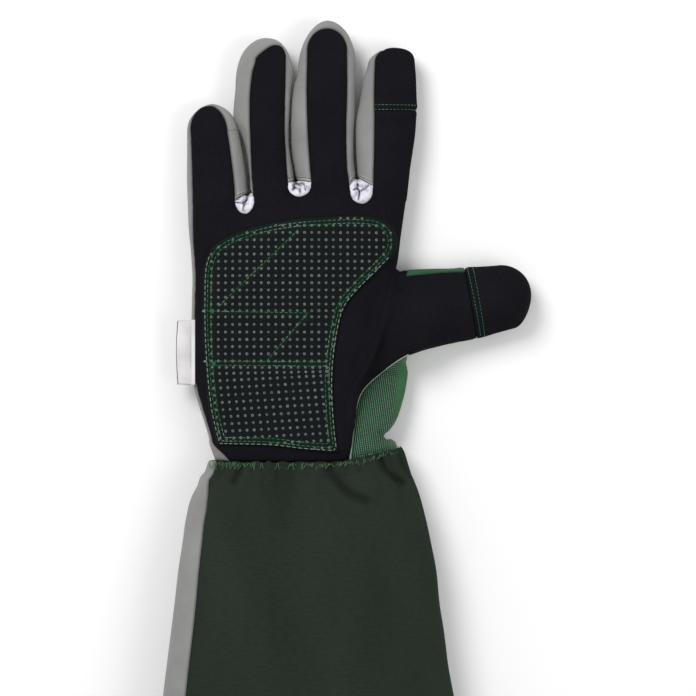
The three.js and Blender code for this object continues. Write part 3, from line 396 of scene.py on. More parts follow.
# Cuff folds: points of a line in millimetres, then depth and width.
CUFF_FOLDS = [
    ((-26.2, -63.5), (-28.4, -68.3), (-31.2, -73.5), 2.0, 1.7),
    ((16.3, -65.0), (16.0, -70.0), (21.4, -75.6), (27.0, -80.2), (33.6, -82.6), 2.2, 2.3),
    ((33.6, -82.6), (39.0, -83.6), 1.1, 2.3),
    ((40.4, -62.0), (42.3, -67.3), (46.4, -71.0), (51.0, -74.0), 2.4, 2.2),
    ((50.0, -60.0), (51.8, -65.5), (54.5, -71.0), 1.4, 1.3),
    ((-3.0, -65.0), (-5.0, -77.0), (-9.0, -95.0), 1.0, 4.5),
    ((-12.0, -63.5), (-13.5, -70.0), 1.0, 1.4),
    ((6.0, -63.5), (5.0, -71.0), 1.0, 1.5),
    ((28.0, -62.5), (30.0, -68.0), 1.2, 1.5),
]
FOLD_DEPTH = 2.4

# Stitches, in millimetres
WEB_END_STEPS = 3
HEM_BY_WEB = 1.8
TIP_PANELS = ("palm_panel", "index_tip", "thumb_front", "thumb_tip", "thumb_back")
INDEX_CAP_LINES = [((37.4, 109.9), (58.0, 109.9)), ((37.4, 107.7), (58.0, 107.7))]
THUMB_CAP_LINES = [((82.9, 30.3), (89.5, -3.0)), ((85.5, 31.0), (91.5, -3.0))]
WRIST_STITCHES_AT = np.arange(-43.5, 50.2, 1.55)
DENSE_STITCHES_AT = np.arange(27, 50.5, 1.1)

# Stage, in metres; each lamp has its place, size and power in watts
FLOOR_HALF = 3.0
FLOOR_LEVEL = -0.0006
WORLD_LIGHT = 0.55
LAMPS = {"key": ((-0.6, 0.8, 1.2), 0.8, 14), "fill": ((1.0, -0.3, 1.2), 0.9, 6)}
LAMP_TARGET = (0.02, 0, 0)
CAMERA_HEIGHT = 1.717
CAMERA_LENS = 180
CAMERA_SENSOR = 36


def mix(a, b, share):
    return a + (b - a) * share


def smooth(value, start, end):
    """Rises from 0 at start to 1 at end, level at both."""
    t = np.clip((value - start) / (end - start), 0, 1)
    return t * t * (3 - 2 * t)


def bell(distance, width):
    return np.exp(-((distance / width) ** 2))


def unit(vectors):
    return vectors / np.maximum(np.linalg.norm(vectors, axis=-1, keepdims=True), 1e-9)


def ripple(points, length, seed, waves=9):
    """Smooth random relief from -1 to 1: the mean of plane waves of about that length."""
    random = np.random.default_rng(seed)
    directions = unit(random.normal(size=(waves, 3)))
    lengths = length * random.uniform(0.7, 1.5, waves)
    phases = random.uniform(0, 2 * np.pi, waves)
    angles = points @ (directions / lengths[:, None]).T * 2 * np.pi + phases
    return np.clip(np.sin(angles).sum(-1) / waves**0.5 / 1.5, -1, 1)


def nearest(points, others):
    """Distance of each point to the nearest of the others, in blocks of whole arrays."""
    block = max(1, 6_000_000 // max(len(others), 1))
    found = []
    for start in range(0, len(points), block):
        part = points[start : start + block]
        square = (part**2).sum(1)[:, None] + (others**2).sum(1)[None] - 2 * part @ others.T
        found.append(np.sqrt(np.maximum(square.min(1), 0)))
    return np.concatenate(found)


def even_line(points, step):
    """The line through the points, read again at even lengths."""
    points = np.asarray(points, float)
    length = np.concatenate([[0], np.cumsum(np.linalg.norm(np.diff(points, axis=0), axis=1))])
    count = max(2, int(round(length[-1] / step)) + 1)
    wanted = np.linspace(0, length[-1], count)
    return np.column_stack([np.interp(wanted, length, points[:, k]) for k in range(points.shape[1])])


def palm_edge(column, at):
    return PALM.read(column, at) * PALM_WIDTH


def palm_at(y):
    return (y - WRIST_Y) / PALM_LENGTH


def fold_depth(x, y):
    """Sum of a bell curve of the distance to each fold's line."""
    depth = 0
    for from_x, from_y, to_x, to_y, deep, width in FOLDS:
        ax, ay = from_x * PALM_WIDTH, from_y * PALM_LENGTH
        bx, by = to_x * PALM_WIDTH - ax, to_y * PALM_LENGTH - ay
        near = np.clip(((x - ax) * bx + (y - ay) * by) / (bx * bx + by * by), 0, 1)
        distance = np.hypot(x - ax - near * bx, y - ay - near * by)
        depth = depth + deep * bell(distance, width)
    return depth


def valley_depth(x, y):
    """A bell across each finger crotch, rising along it."""
    depth = 0
    for web in WEBS:
        rim = web["mid"] * PALM_LENGTH
        middle = mix(web["mid_x"], web["x"], smooth(y, rim, rim + 12)) * PALM_WIDTH
        valley = WEB_VALLEY * bell(x - middle, VALLEY_WIDTH)
        depth = depth + valley * smooth(y, rim - VALLEY_LENGTH, rim + 6)
    return depth


def palm_reach(x, y):
    """How far out a point is: 0 at the middle of the palm, 1 at its widest edge."""
    at = palm_at(y)
    left, right = palm_edge("left", at), palm_edge("right", at)
    return np.minimum(np.abs(x - (left + right) / 2) / ((right - left) / 2), WIDEST_REACH)


def dome_top(reach, height, waist, power):
    """A quarter of a squared-off ellipse from the widest level up to the height."""
    return waist + (height - waist) * (1 - reach**power) ** (1 / power)


def dome_bottom(reach, waist):
    """Flat on the floor to FLOOR_SHARE of the half width, then a quarter ellipse up to the widest level."""
    past = np.maximum(0, (reach - FLOOR_SHARE) / (1 - FLOOR_SHARE))
    return waist * (1 - (1 - past**DOME_FOOT_POWER) ** (1 / DOME_FOOT_POWER))


def palm_top(x, y):
    height = PALM.read("height", palm_at(y)) * PALM_HEIGHT
    return dome_top(palm_reach(x, y), height, PALM_WAIST, DOME_POWER) - valley_depth(x, y) - fold_depth(x, y)


def palm_bottom(x, y):
    return dome_bottom(palm_reach(x, y), PALM_WAIST)


def eased(at, end):
    """The lesser of the two, rounded off where they meet."""
    past = np.clip(at - end + SHOULDER_EASE, 0, 2 * SHOULDER_EASE)
    return np.minimum(at - past**2 / (4 * SHOULDER_EASE), end)


def finger_edges(finger, kind, at):
    def edge(column):
        return finger["x"] * PALM_WIDTH + finger["edges"].read(column, at) * finger["width"]

    if kind == "strip":
        return edge("strip_left"), edge("strip_right")
    left, right = edge("left"), edge("right")
    inset = FINGER_BACK_INSET * (right - left) if kind == "back" else 0
    return left + inset, right - inset


def finger_ends(finger, kind):
    if kind == "strip":
        return finger["strip_shoulder"], finger["strip_tip"], finger["skew"]
    if kind == "back":
        return finger["shoulder"] - 0.01, FINGER_BACK_TIP, 0
    return finger["shoulder"], 1, 0


def finger_starts(index, kind):
    """Shares of the finger's length at which its left and right edges start."""
    finger = FINGERS[index]
    level = {"strip": "rim", "outline": "slot", "back": "back"}[kind]

    def start(web):
        return (WEBS[web][level] - finger["y"]) * PALM_LENGTH / finger["length"]

    return (start(index - 1) if index else 0, start(index) if index < LAST_FINGER else 0)


def finger_point(index, kind, row, side):
    """Straight rows from the root to the cap seam, then rows that bend into the round tip's arch."""
    finger = FINGERS[index]
    across = (side + 1) / 2
    shoulder, tip, skew = finger_ends(finger, kind)
    start_left, start_right = finger_starts(index, kind)
    straight = mix(mix(start_left, start_right, across), finger["cap"], np.minimum(row / finger["rows"], 1))
    leaning = np.clip(side - skew * (1 - side * side), -1, 1)
    power = arch_power(finger, kind, leaning)
    end = shoulder + (tip - shoulder) * np.maximum(0, 1 - np.abs(leaning) ** power) ** (1 / power)
    past = np.clip((row - finger["rows"]) / CAP_ROWS, 0, 1)
    at = np.where(past > 0, mix(finger["cap"], end, past), straight)
    left, right = finger_edges(finger, kind, eased(at, shoulder))
    return mix(left, right, across), finger["y"] * PALM_LENGTH + at * finger["length"], at


def arch_power(finger, kind, leaning):
    """How square the round tip's arch is on its left and right."""
    left, right = finger["arch"]["strip" if kind == "strip" else "outline"]
    return np.where(leaning < 0, left, right)


def finger_reach(finger, x, at):
    left, right = finger_edges(finger, "outline", eased(at, finger["shoulder"]))
    across = (x - (left + right) / 2) / ((right - left) / 2)
    past = np.maximum(0, (at - finger["shoulder"]) / (1 - finger["shoulder"]))
    power = arch_power(finger, "outline", across)
    return np.minimum((np.abs(across) ** power + past**power) ** (1 / power), WIDEST_REACH)


def finger_blend(at):
    return smooth(at, 0, FINGER_BLEND_END)


def finger_waist(at):
    return mix(PALM_WAIST, FINGER_WAIST, finger_blend(at))


SIDES = np.linspace(-1, 1, COLUMNS + 1)
WEB_SHARES = np.linspace(0, 1, WEB_COLUMNS + 1)[1:-1]
ROOT_ROW = PALM_ROWS_BESIDE_THUMB * PALM_STEPS
ROW_SHARES = np.concatenate([
    np.linspace(0, THUMB_ROOT_AT, ROOT_ROW + 1),
    np.linspace(THUMB_ROOT_AT, 1, PALM_ROWS_ABOVE_THUMB * PALM_STEPS + 1)[1:],
])


def finger_rows(index):
    """Rows from the root, closer together beside the web patch."""
    total = FINGERS[index]["rows"] + CAP_ROWS
    return np.concatenate([
        np.linspace(0, 1, WEB_ROW_STEPS + 1),
        np.linspace(1, total, (total - 1) * FINGER_STEPS + 1)[1:],
    ])


def finger_sides(index, row):
    """Even columns, which turn to even steps of the arch towards the tip."""
    turn = smooth(row, FINGERS[index]["rows"], FINGERS[index]["rows"] + CAP_ROWS)
    return mix(SIDES, np.sin(np.pi / 2 * SIDES), turn)


def finger_sheet(index, kind):
    """Grid of the finger's front or back: the palm's dome blended into the finger's own."""
    finger = FINGERS[index]
    row = finger_rows(index)[:, None]
    x, y, at = finger_point(index, kind, row, finger_sides(index, row))
    reach = finger_reach(finger, x, at)
    blend = finger_blend(at) * smooth(row, 0, 1)
    if kind == "strip":
        height = mix(FINGER_HEIGHT, FINGERTIP_HEIGHT, smooth(at, 0.3, 1))
        own = dome_top(reach, height, FINGER_WAIST, 2) - fold_depth(x, y)
        z = mix(palm_top(x, y), own, blend)
    else:
        z = mix(palm_bottom(x, y), dome_bottom(reach, FINGER_WAIST), blend)
    return np.stack([x, y, z], -1)


def web_line(index, kind, share):
    """From one finger to the next, sagging as half a sine, or rounder than that on the palm side."""
    web = WEBS[index]
    from_x, from_y, _ = finger_point(index, kind, 0.0, 1.0)
    to_x, to_y, _ = finger_point(index + 1, kind, 0.0, -1.0)
    low = (web["rim"] - web["mid"]) * PALM_LENGTH if kind == "strip" else SLOT_WIDTH
    half = SLOT_WIDTH / 2 if kind == "outline" else 0
    sag = WEB_SAG_POWER if kind == "strip" else 1
    y = mix(from_y, to_y, share) - low * np.sin(np.pi * share) ** sag
    return mix(from_x - half, to_x + half, share), y


def root_line(kind):
    """Plan points where the palm's lines end at the roots of the fingers."""
    parts = []
    for index in range(len(FINGERS)):
        parts.append(np.stack(finger_point(index, kind, 0.0, SIDES)[:2]))
        if index < LAST_FINGER:
            parts.append(np.stack(web_line(index, kind, WEB_SHARES)))
    return np.concatenate(parts, axis=1)


def finger_column(index):
    """The first of the palm's lines that belongs to a finger."""
    return index * (COLUMNS + WEB_COLUMNS)


def palm_sheet(kind, fingers):
    """Grid of the palm or the back of the hand: lines from the wrist that spread to the finger roots."""
    share = ROW_SHARES[:, None]
    end_x, end_y = root_line(kind)
    across = (end_x - end_x[0]) / (end_x[-1] - end_x[0])
    edge = "leather" if kind == "strip" else "left"
    left = palm_edge(edge, share) + (0 if kind == "strip" else PALM_BACK_INSET)
    x = mix(mix(left, palm_edge("seam", share), across), end_x, smooth(share, 0.75, 1))
    y = WRIST_Y + share * mix(PALM_LENGTH, end_y - WRIST_Y, smooth(share, 0.7, 1))
    z = palm_top(x, y) if kind == "strip" else palm_bottom(x, y)
    sheet = np.stack([x, y, z], -1)
    for index, grid in enumerate(fingers):
        start = finger_column(index)
        sheet[-1, start : start + COLUMNS + 1] = grid[0]
    return sheet


def seam_point(side):
    at = THUMB_ROOT_AT * (1 - side)
    return palm_edge("seam", at), WRIST_Y + at * PALM_LENGTH


def thumb_lines(kind):
    """Upper and lower edge of the thumb's sheet at every station, as a table."""
    column = THUMB_STATIONS.column

    def place(name):
        x = THUMB_ROOT[0] + column[name + "_x"] * THUMB_LENGTH
        return np.stack([x, THUMB_ROOT[1] + column[name + "_y"] * THUMB_WIDTH], 1)

    out_up, out_low, low = place("out_up"), place("out_low"), place("low")
    if kind == "outline":
        ends = [out_up, out_low]
    elif kind == "strip":
        ends = [place("up"), low]
    else:
        inset = BACK_INSET / np.linalg.norm(out_up - out_low, axis=1, keepdims=True)
        fan = THUMB_STATIONS.at[:, None] < THUMB_FAN
        lower = np.where(fan, mix(out_low, low, column["back"][:, None]), mix(out_low, out_up, inset))
        ends = [mix(out_up, out_low, inset), lower]
    if kind != "outline":
        for end, side in zip(ends, (0.0, 1.0)):
            end[0] = seam_point(side)
    return Table(("up_x", "up_y", "low_x", "low_y"), np.column_stack([THUMB_STATIONS.at, *ends]))


THUMB_LINES = {kind: thumb_lines(kind) for kind in ("outline", "strip", "back")}
THUMB_TOTAL = THUMB_CAP + THUMB_CAP_ROWS
STATIONS = np.linspace(0, THUMB_TOTAL, THUMB_TOTAL * THUMB_STEPS + 1)


def thumb_sides(station):
    """1 at the lower edge to 0 at the upper, turning to even steps of the arch at the tip."""
    even = np.linspace(1, 0, ROOT_ROW + 1)[:, None]
    turn = smooth(station, THUMB_CAP, THUMB_TOTAL)
    return mix(even, (1 + np.sin(np.pi * (even - 0.5))) / 2, turn)


def thumb_point(kind, station, side):
    """Straight lines between the two edges, bowed like the thenar seam at first and arched at the tip."""
    lines = THUMB_LINES[kind]
    straight = np.minimum(station, THUMB_CAP)
    x = mix(lines.read("up_x", straight), lines.read("low_x", straight), side)
    y = mix(lines.read("up_y", straight), lines.read("low_y", straight), side)
    if kind != "outline":
        bow = np.maximum(0, 1 - station / THUMB_FAN)
        (seam_x, seam_y), top, bottom = seam_point(side), seam_point(0.0), seam_point(1.0)
        x = x + bow * (seam_x - mix(top[0], bottom[0], side))
        y = y + bow * (seam_y - mix(top[1], bottom[1], side))
    ends = THUMB_SHOULDER
    sag = THUMB_BACK_SAG if kind == "back" else 0
    up = ends["up"] if kind == "strip" else ends["out_up"] - sag
    low = ends["low"] if kind == "strip" else ends["out_low"] + sag
    tip = {"outline": 1, "strip": ends["tip"], "back": THUMB_BACK_TIP}[kind]
    arch = np.sqrt(np.maximum(0, 1 - (2 * side - 1) ** 2))
    corner = mix(ends["up_x"], ends["low_x"], side)
    end_x = THUMB_ROOT[0] + mix(corner, tip, arch) * THUMB_LENGTH
    end_y = THUMB_ROOT[1] + mix(up, low, side) * THUMB_WIDTH
    end_y = end_y + THUMB_TIP_SLOPE * side**3 * (tip - corner) * arch * THUMB_LENGTH
    share = np.clip((station - THUMB_CAP) / THUMB_CAP_ROWS, 0, 1)
    return mix(x, end_x, share), mix(y, end_y, share)


def thumb_outline():
    column = THUMB_STATIONS.column
    rows = np.column_stack([column["out_up_x"], column["out_up_y"], column["out_low_y"]])
    ends = THUMB_SHOULDER
    last = [ends["x"], ends["out_up"], ends["out_low"]]
    return Table(("up", "low"), np.vstack([rows[THUMB_STATIONS.at >= THUMB_FAN - 1], last]))


THUMB_OUTLINE = thumb_outline()


def thumb_reach(x, y):
    at = (x - THUMB_ROOT[0]) / THUMB_LENGTH
    up = THUMB_ROOT[1] + THUMB_OUTLINE.read("up", at) * THUMB_WIDTH
    low = THUMB_ROOT[1] + THUMB_OUTLINE.read("low", at) * THUMB_WIDTH
    past = np.maximum(0, (at - THUMB_SHOULDER["x"]) / (1 - THUMB_SHOULDER["x"]))
    across = np.abs(y - (up + low) / 2) / ((up - low) / 2)
    return np.minimum(np.hypot(across, past), WIDEST_REACH)


def thumb_blend(station):
    return smooth(station, 0, THUMB_FAN + 1)


def thumb_sheet(kind, palm):
    """Grid of the thumb's front or back: the palm's dome blended into the thumb's own."""
    station = STATIONS[None, :]
    x, y = thumb_point(kind, station, thumb_sides(station))
    if kind == "strip":
        base, own = palm_top(x, y), dome_top(thumb_reach(x, y), THUMB_HEIGHT, THUMB_WAIST, 2)
    else:
        base, own = palm_bottom(x, y), dome_bottom(thumb_reach(x, y), THUMB_WAIST)
    sheet = np.stack([x, y, mix(base, own, thumb_blend(station))], -1)
    sheet[:, 0] = palm[: ROOT_ROW + 1, -1]
    return sheet


class Skin:
    """Grids of points, joined where they share an edge, with each face's panel and cloth lengths."""

    def __init__(self):
        self.points, self.cloth, self.quads, self.names = [], [], [], []
        self.count = 0

    def add(self, grid, cloth, names):
        rows, columns = grid.shape[:2]
        ids = self.count + np.arange(rows * columns).reshape(rows, columns)
        self.count += rows * columns
        self.points.append(grid.reshape(-1, 3))
        self.cloth.append(cloth.reshape(-1, 2))
        corners = [ids[:-1, :-1], ids[:-1, 1:], ids[1:, 1:], ids[1:, :-1]]
        self.quads.append(np.stack(corners, -1).reshape(-1, 4))
        self.names.append(np.broadcast_to(names, (rows - 1, columns - 1)).reshape(-1))

    def join(self, settle=lambda points: points):
        """Gives points in the same place one number, and each its normal, the mean of its faces'."""
        loose = np.concatenate(self.points)
        self.cloth, self.names = np.concatenate(self.cloth), np.concatenate(self.names)
        quads = np.concatenate(self.quads)
        self.loose = np.concatenate([quads[:, [0, 1, 2]], quads[:, [0, 2, 3]]])
        self.names = np.concatenate([self.names, self.names])
        _, first, number = np.unique(np.round(loose, 4), axis=0, return_index=True, return_inverse=True)
        self.points = settle(loose[first])
        self.triangles = number.reshape(-1)[self.loose]
        a, b, c = self.triangles.T
        real = (a != b) & (b != c) & (a != c)
        self.triangles, self.loose, self.names = self.triangles[real], self.loose[real], self.names[real]
        self.normals = point_normals(self.points, self.triangles)
        self.find_seams()
        return self

    def find_seams(self):
        """Marks the points where two cloths meet or the skin ends, and how far each point is from them."""
        count = len(self.points)
        cloths = np.array([slot_of(name) for name in self.names])
        met = np.zeros(count, int)
        for cloth in set(cloths):
            met += np.bincount(self.triangles[cloths == cloth].ravel(), minlength=count) > 0
        self.seam = met > 1
        self.seam[border_edges(self.triangles, count)] = True
        self.rim = nearest(self.points, self.points[self.seam])


def slot_of(name):
    """The slot of a hand panel; any other piece is a cloth of its own."""
    return HAND_SLOTS.get(name, name)


def point_normals(points, triangles):
    """Sum of the normals of the faces round each point, by area."""
    a, b, c = (points[triangles[:, k]] for k in range(3))
    across = np.cross(b - a, c - a)
    normals = np.zeros_like(points)
    for k in range(3):
        np.add.at(normals, triangles[:, k], across)
    return unit(normals)


def plan_cloth(grid):
    return grid[..., :2]


def strip_cloth(grid):
    """Lengths along and across a strip, added up from step to step."""
    along = np.linalg.norm(np.diff(grid, axis=1), axis=2)
    across = np.linalg.norm(np.diff(grid, axis=0), axis=2)
    u = np.concatenate([[0], np.cumsum(along[len(along) // 2])])
    v = np.concatenate([np.zeros((1, grid.shape[1])), np.cumsum(across, axis=0)])
    return np.stack([np.broadcast_to(u, v.shape), v], -1)


def stops_of(front, out_x, out_y, back, waist, reach, names):
    """One row for each stop round the outline: front, widest point, back, level and reach."""
    count = len(front)
    numbers = np.column_stack([
        front, out_x, out_y, back, np.broadcast_to(waist, count), np.broadcast_to(reach, count),
    ])
    return numbers, np.broadcast_to(names, count)


def finger_stops(index, front, back):
    """Up the finger's left side, round its tip and down its right side."""
    finger = FINGERS[index]
    row = finger_rows(index)
    first, last = index == 0, index == LAST_FINGER
    left = "ulnar_side" if first else f"fourchette_{finger['name']}_outer"
    right = "palm_panel" if last else f"fourchette_{finger['name']}_inner"
    left_web = left if first else WEBS[index - 1]["name"]
    right_web = right if last else WEBS[index]["name"]
    total = finger["rows"] + CAP_ROWS

    def side_stops(line, rows, sides, names, slot):
        at_front = (front[line], back[line])
        x, y, at = finger_point(index, "outline", rows, sides)
        start = at_front[0]
        own = (start[:, 1] - finger["y"] * PALM_LENGTH) / finger["length"]
        reach = finger_reach(finger, start[:, 0], own)
        reach = mix(palm_reach(start[:, 0], start[:, 1]), reach, finger_blend(own))
        if slot:
            reach = mix(WEB_REACH, reach, smooth(rows, 0, 1))
        gap = slot * SLOT_WIDTH / 2 * (1 - smooth(rows, finger["rows"], total))
        return stops_of(start, x - gap, y, at_front[1], finger_waist(at), reach, names)

    left_end, right_end = (0 if outer else WEBS[index - k]["end"] for outer, k in ((first, 1), (last, 0)))
    up_names = np.where(row[:-1] < left_end - ROW_MARGIN, left_web, left)
    down = row[::-1]
    down_names = np.where(down < right_end + ROW_MARGIN, right_web, right)
    if last:
        down_names = np.where(down > finger["rows"] + ROW_MARGIN, "index_tip", down_names)
    tip_sides = finger_sides(index, total)
    tip_names = np.where(last & (tip_sides[:-1] > TIP_STRIP_ENDS), "index_tip", left)
    return [
        side_stops((slice(0, -1), 0), row[:-1], -1.0, up_names, 0 if first else -1),
        side_stops((-1, slice(0, -1)), np.full(COLUMNS, total), tip_sides[:-1], tip_names, 0),
        side_stops((slice(None, None, -1), -1), down, 1.0, down_names, 0 if last else 1),
    ]


def outline_stops(front, back, fingers, finger_backs, thumb, thumb_back):
    """Every stop of the side strip, from the outer side of the wrist round to the thumb's base."""
    stops = []
    start, under = front[:-1, 0], back[:-1, 0]
    left = palm_edge("left", ROW_SHARES[:-1])
    reach = palm_reach(*start[:, :2].T)
    stops.append(stops_of(start, left, start[:, 1], under, PALM_WAIST, reach, "ulnar_side"))
    for index in range(len(FINGERS)):
        stops += finger_stops(index, fingers[index], finger_backs[index])
        if index == LAST_FINGER:
            break
        column = finger_column(index) + COLUMNS + 1 + np.arange(len(WEB_SHARES))
        x, y = web_line(index, "outline", WEB_SHARES)
        waists = [finger_waist(finger_point(index + k, "outline", 0.0, 1.0 - 2 * k)[2]) for k in (0, 1)]
        waist = mix(*waists, WEB_SHARES)
        name = WEBS[index]["name"]
        stops.append(stops_of(front[-1, column], x, y, back[-1, column], waist, WEB_REACH, name))
    coarse = THUMB_ROOT_AT + (1 - THUMB_ROOT_AT) * np.linspace(0, 1, PALM_ROWS_ABOVE_THUMB + 1)
    beside = ROW_SHARES[ROOT_ROW:]
    line = front[ROOT_ROW:, -1]
    outs = np.column_stack([palm_edge("right", coarse), np.interp(coarse, beside, line[:, 1])])
    outs[0] = thumb_point("outline", 0.0, 0.0)
    side = Table(("x", "y"), np.column_stack([coarse, outs]))
    rows = slice(len(ROW_SHARES) - 2, ROOT_ROW, -1)
    start, under, share = front[rows, -1], back[rows, -1], ROW_SHARES[rows]
    reach = palm_reach(*start[:, :2].T)
    x, y = side.read("x", share), side.read("y", share)
    stops.append(stops_of(start, x, y, under, PALM_WAIST, reach, "palm_panel"))

    def thumb_stops(line, station, side, names):
        start = thumb[line]
        reach = mix(palm_reach(*start[:, :2].T), thumb_reach(*start[:, :2].T), thumb_blend(station))
        x, y = thumb_point("outline", station, side)
        waist = mix(PALM_WAIST, THUMB_WAIST, thumb_blend(station))
        stops.append(stops_of(start, x, y, thumb_back[line], waist, reach, names))

    upper = STATIONS[:-1]
    names = np.where(upper < THUMB_BACK_SHOWS, "thumb_lower", "thumb_back")
    names = np.where(upper > THUMB_CAP - ROW_MARGIN, "thumb_tip", names)
    thumb_stops((-1, slice(0, -1)), upper, 0.0, names)
    tip_sides = thumb_sides(np.array([[THUMB_TOTAL]]))[::-1, 0]
    around = (slice(None, 0, -1), -1)
    thumb_stops(around, np.full(ROOT_ROW, float(THUMB_TOTAL)), tip_sides[:-1], "thumb_tip")
    lower = STATIONS[STATIONS > 1 - ROW_MARGIN][::-1]
    names = np.where(lower > THUMB_FAN + ROW_MARGIN, "thumb_lower", "thumb_base")
    names = np.where(lower > THUMB_CAP + ROW_MARGIN, "thumb_tip", names)
    thumb_stops((0, slice(None, THUMB_STEPS - 1, -1)), lower, 1.0, names)
    numbers, names = zip(*stops)
    return np.concatenate(numbers), np.concatenate(names)


def side_strip(numbers):
    """From each stop's front edge on the dome's own ellipse out to its widest point, then to the back."""
    front, out, back = numbers[:, 0:3], numbers[:, 3:5], numbers[:, 5:8]
    waist, reach = numbers[:, 8], numbers[:, 9]
    start = np.arcsin(np.clip(reach, 0, WIDEST_REACH))
    grid = np.empty((BANDS_UP + BANDS_DOWN + 1, len(numbers), 3))
    for m in range(BANDS_UP + 1):
        angle = mix(start, np.pi / 2, m / BANDS_UP)
        share = ((np.sin(angle) - np.sin(start)) / (1 - np.sin(start)))[:, None]
        grid[m, :, :2] = mix(front[:, :2], out, share)
        grid[m, :, 2] = waist + (front[:, 2] - waist) * np.cos(angle) / np.cos(start)
    for m in range(1, BANDS_DOWN + 1):
        angle = np.pi / 2 * m / BANDS_DOWN
        grid[BANDS_UP + m, :, :2] = mix(back[:, :2], out, np.cos(angle))
        grid[BANDS_UP + m, :, 2] = mix(waist, back[:, 2], np.sin(angle))
    grid[0], grid[-1] = front, back
    return grid


def tuck_wrist(points):
    """Draws the wrist's edge in on all sides, so that the cuff passes round it."""
    points = points.copy()
    share = 1 - smooth(points[:, 1], WRIST_Y, WRIST_Y + TUCK_REACH)
    middle = (palm_edge("left", 0) + palm_edge("right", 0)) / 2
    half = (palm_edge("right", 0) - palm_edge("left", 0)) / 2
    height = PALM.read("height", 0) * PALM_HEIGHT
    points[:, 0] -= (points[:, 0] - middle) * share * (WRIST_TUCK / half)
    points[:, 2] += share * WRIST_TUCK * (1 - (2 * points[:, 2]) / height)
    return points


def hand_skin():
    """The whole hand as one skin, with its side strip's grid and the panel named at each stop."""
    fingers = [finger_sheet(index, "strip") for index in range(len(FINGERS))]
    finger_backs = [finger_sheet(index, "back") for index in range(len(FINGERS))]
    front, back = palm_sheet("strip", fingers), palm_sheet("back", finger_backs)
    thumb, thumb_back = thumb_sheet("strip", front), thumb_sheet("back", back)
    skin = Skin()
    skin.add(front, plan_cloth(front), "palm_panel")
    skin.add(back[:, ::-1], plan_cloth(back[:, ::-1]), "back_panel")
    for index, finger in enumerate(FINGERS):
        grid = fingers[index]
        names = np.full((len(grid) - 1, COLUMNS), "palm_panel", dtype="<U32")
        if index == LAST_FINGER:
            names[finger_rows(index)[:-1] > finger["rows"] - ROW_MARGIN] = "index_tip"
        skin.add(grid, plan_cloth(grid), names)
        under = finger_backs[index][:, ::-1]
        skin.add(under, plan_cloth(under), f"finger_back_{finger['name']}")
    names = np.where(STATIONS[:-1] > THUMB_CAP - ROW_MARGIN, "thumb_tip", "thumb_front")
    skin.add(thumb, plan_cloth(thumb), names)
    under = thumb_back[:, ::-1]
    skin.add(under, plan_cloth(under), "thumb_back")
    numbers, names = outline_stops(front, back, fingers, finger_backs, thumb, thumb_back)
    strip = side_strip(numbers)
    upper = np.arange(BANDS_UP + BANDS_DOWN)[:, None] < BANDS_UP
    lower_thumb = np.where(upper, "thumb_front", "thumb_back")
    faces = np.where(names[:-1] == "thumb_lower", lower_thumb, names[:-1])
    skin.add(strip, strip_cloth(strip), faces)
    return skin.join(tuck_wrist), strip, names


def web_ends():
    """Numbers of the stops where a side strip meets a web."""
    web = np.char.startswith(strip_names, "web")
    grey = np.char.startswith(strip_names, "fourchette")
    return np.flatnonzero((web[:-1] & grey[1:]) | (grey[:-1] & web[1:])) + 1


# Reliefs

SEAM_DIP = 0.55
SEAM_ROLL = 1.0
PUCKER = 0.16
THENAR_DIP = 0.25
THENAR_WIDTH = 0.8
THENAR = np.column_stack(seam_point(np.linspace(0, 0.97, 80)))
CREASE_DEPTH = 1.3
CREASE_WIDTH = 0.55
# Pressed creases of the webs: points of a line, in millimetres
CREASES = [
    [(-30.2, 62.2), (-26.0, 61.7), (-24.9, 63.4), (-24.3, 66.5)],
    [(-26.0, 61.7), (-26.7, 58.4)],
    [(-27.6, 66.2), (-28.6, 63.8), (-30.3, 63.4)],
    [(-2.5, 70.1), (-1.0, 72.0), (0.0, 70.8), (1.5, 72.2), (2.8, 71.4), (3.7, 67.8)],
    [(1.4, 72.2), (0.9, 68.4), (1.3, 66.9)],
    [(-1.4, 69.8), (-2.6, 68.0)],
    [(28.9, 69.0), (30.3, 67.8), (32.5, 68.6), (34.6, 70.6)],
    [(29.3, 71.4), (28.9, 69.0), (30.3, 67.8), (29.6, 63.6)],
    [(31.2, 68.3), (32.4, 68.9), (32.2, 68.0)],
    [(28.9, 69.0), (26.9, 68.2)],
]
# Folds of the thumb's base: points of a line, then depth and width
BASE_FOLDS = [
    ((44.5, -51.6), (41.5, -52.6), (37.8, -53.6), 1.8, 1.3),
    ((41.5, -52.2), (39.6, -50.2), 1.1, 1.1),
    ((47.0, -54.0), (43.0, -57.5), (40.0, -62.0), 0.6, 1.8),
]


def line_folds(points, folds):
    """Bell-shaped grooves along lines of the plan."""
    depth = np.zeros(len(points))
    for *line, deep, width in folds:
        near = nearest(points[:, :2], even_line(line, 0.4))
        depth = np.maximum(depth, deep * bell(near, width))
    return depth


def crease_depth(points):
    return line_folds(points, [(*line, CREASE_DEPTH, CREASE_WIDTH) for line in CREASES])


def cloth_rise(name, points, rim):
    """How far a panel's cloth lies off the smooth skin, wall and all."""
    rise = 0.2 * ripple(points, 26, 3) * smooth(rim, 0, 6)
    if name.startswith("web"):
        folds = np.abs(ripple(points, 7.5, 21, 6)) + 0.4 * np.abs(ripple(points, 4.2, 22, 6))
        rise = rise + (1.9 * folds + 0.3) * smooth(rim, 0, 1.6) - crease_depth(points)
    if name == "thumb_base":
        rise = rise - line_folds(points, BASE_FOLDS)
    if name in ("thumb_back", "back_panel", "thumb_base"):
        rise = rise + 0.35 * ripple(points * (1, 0.5, 1), 17, 8) * smooth(rim, 0, 5)
    return rise


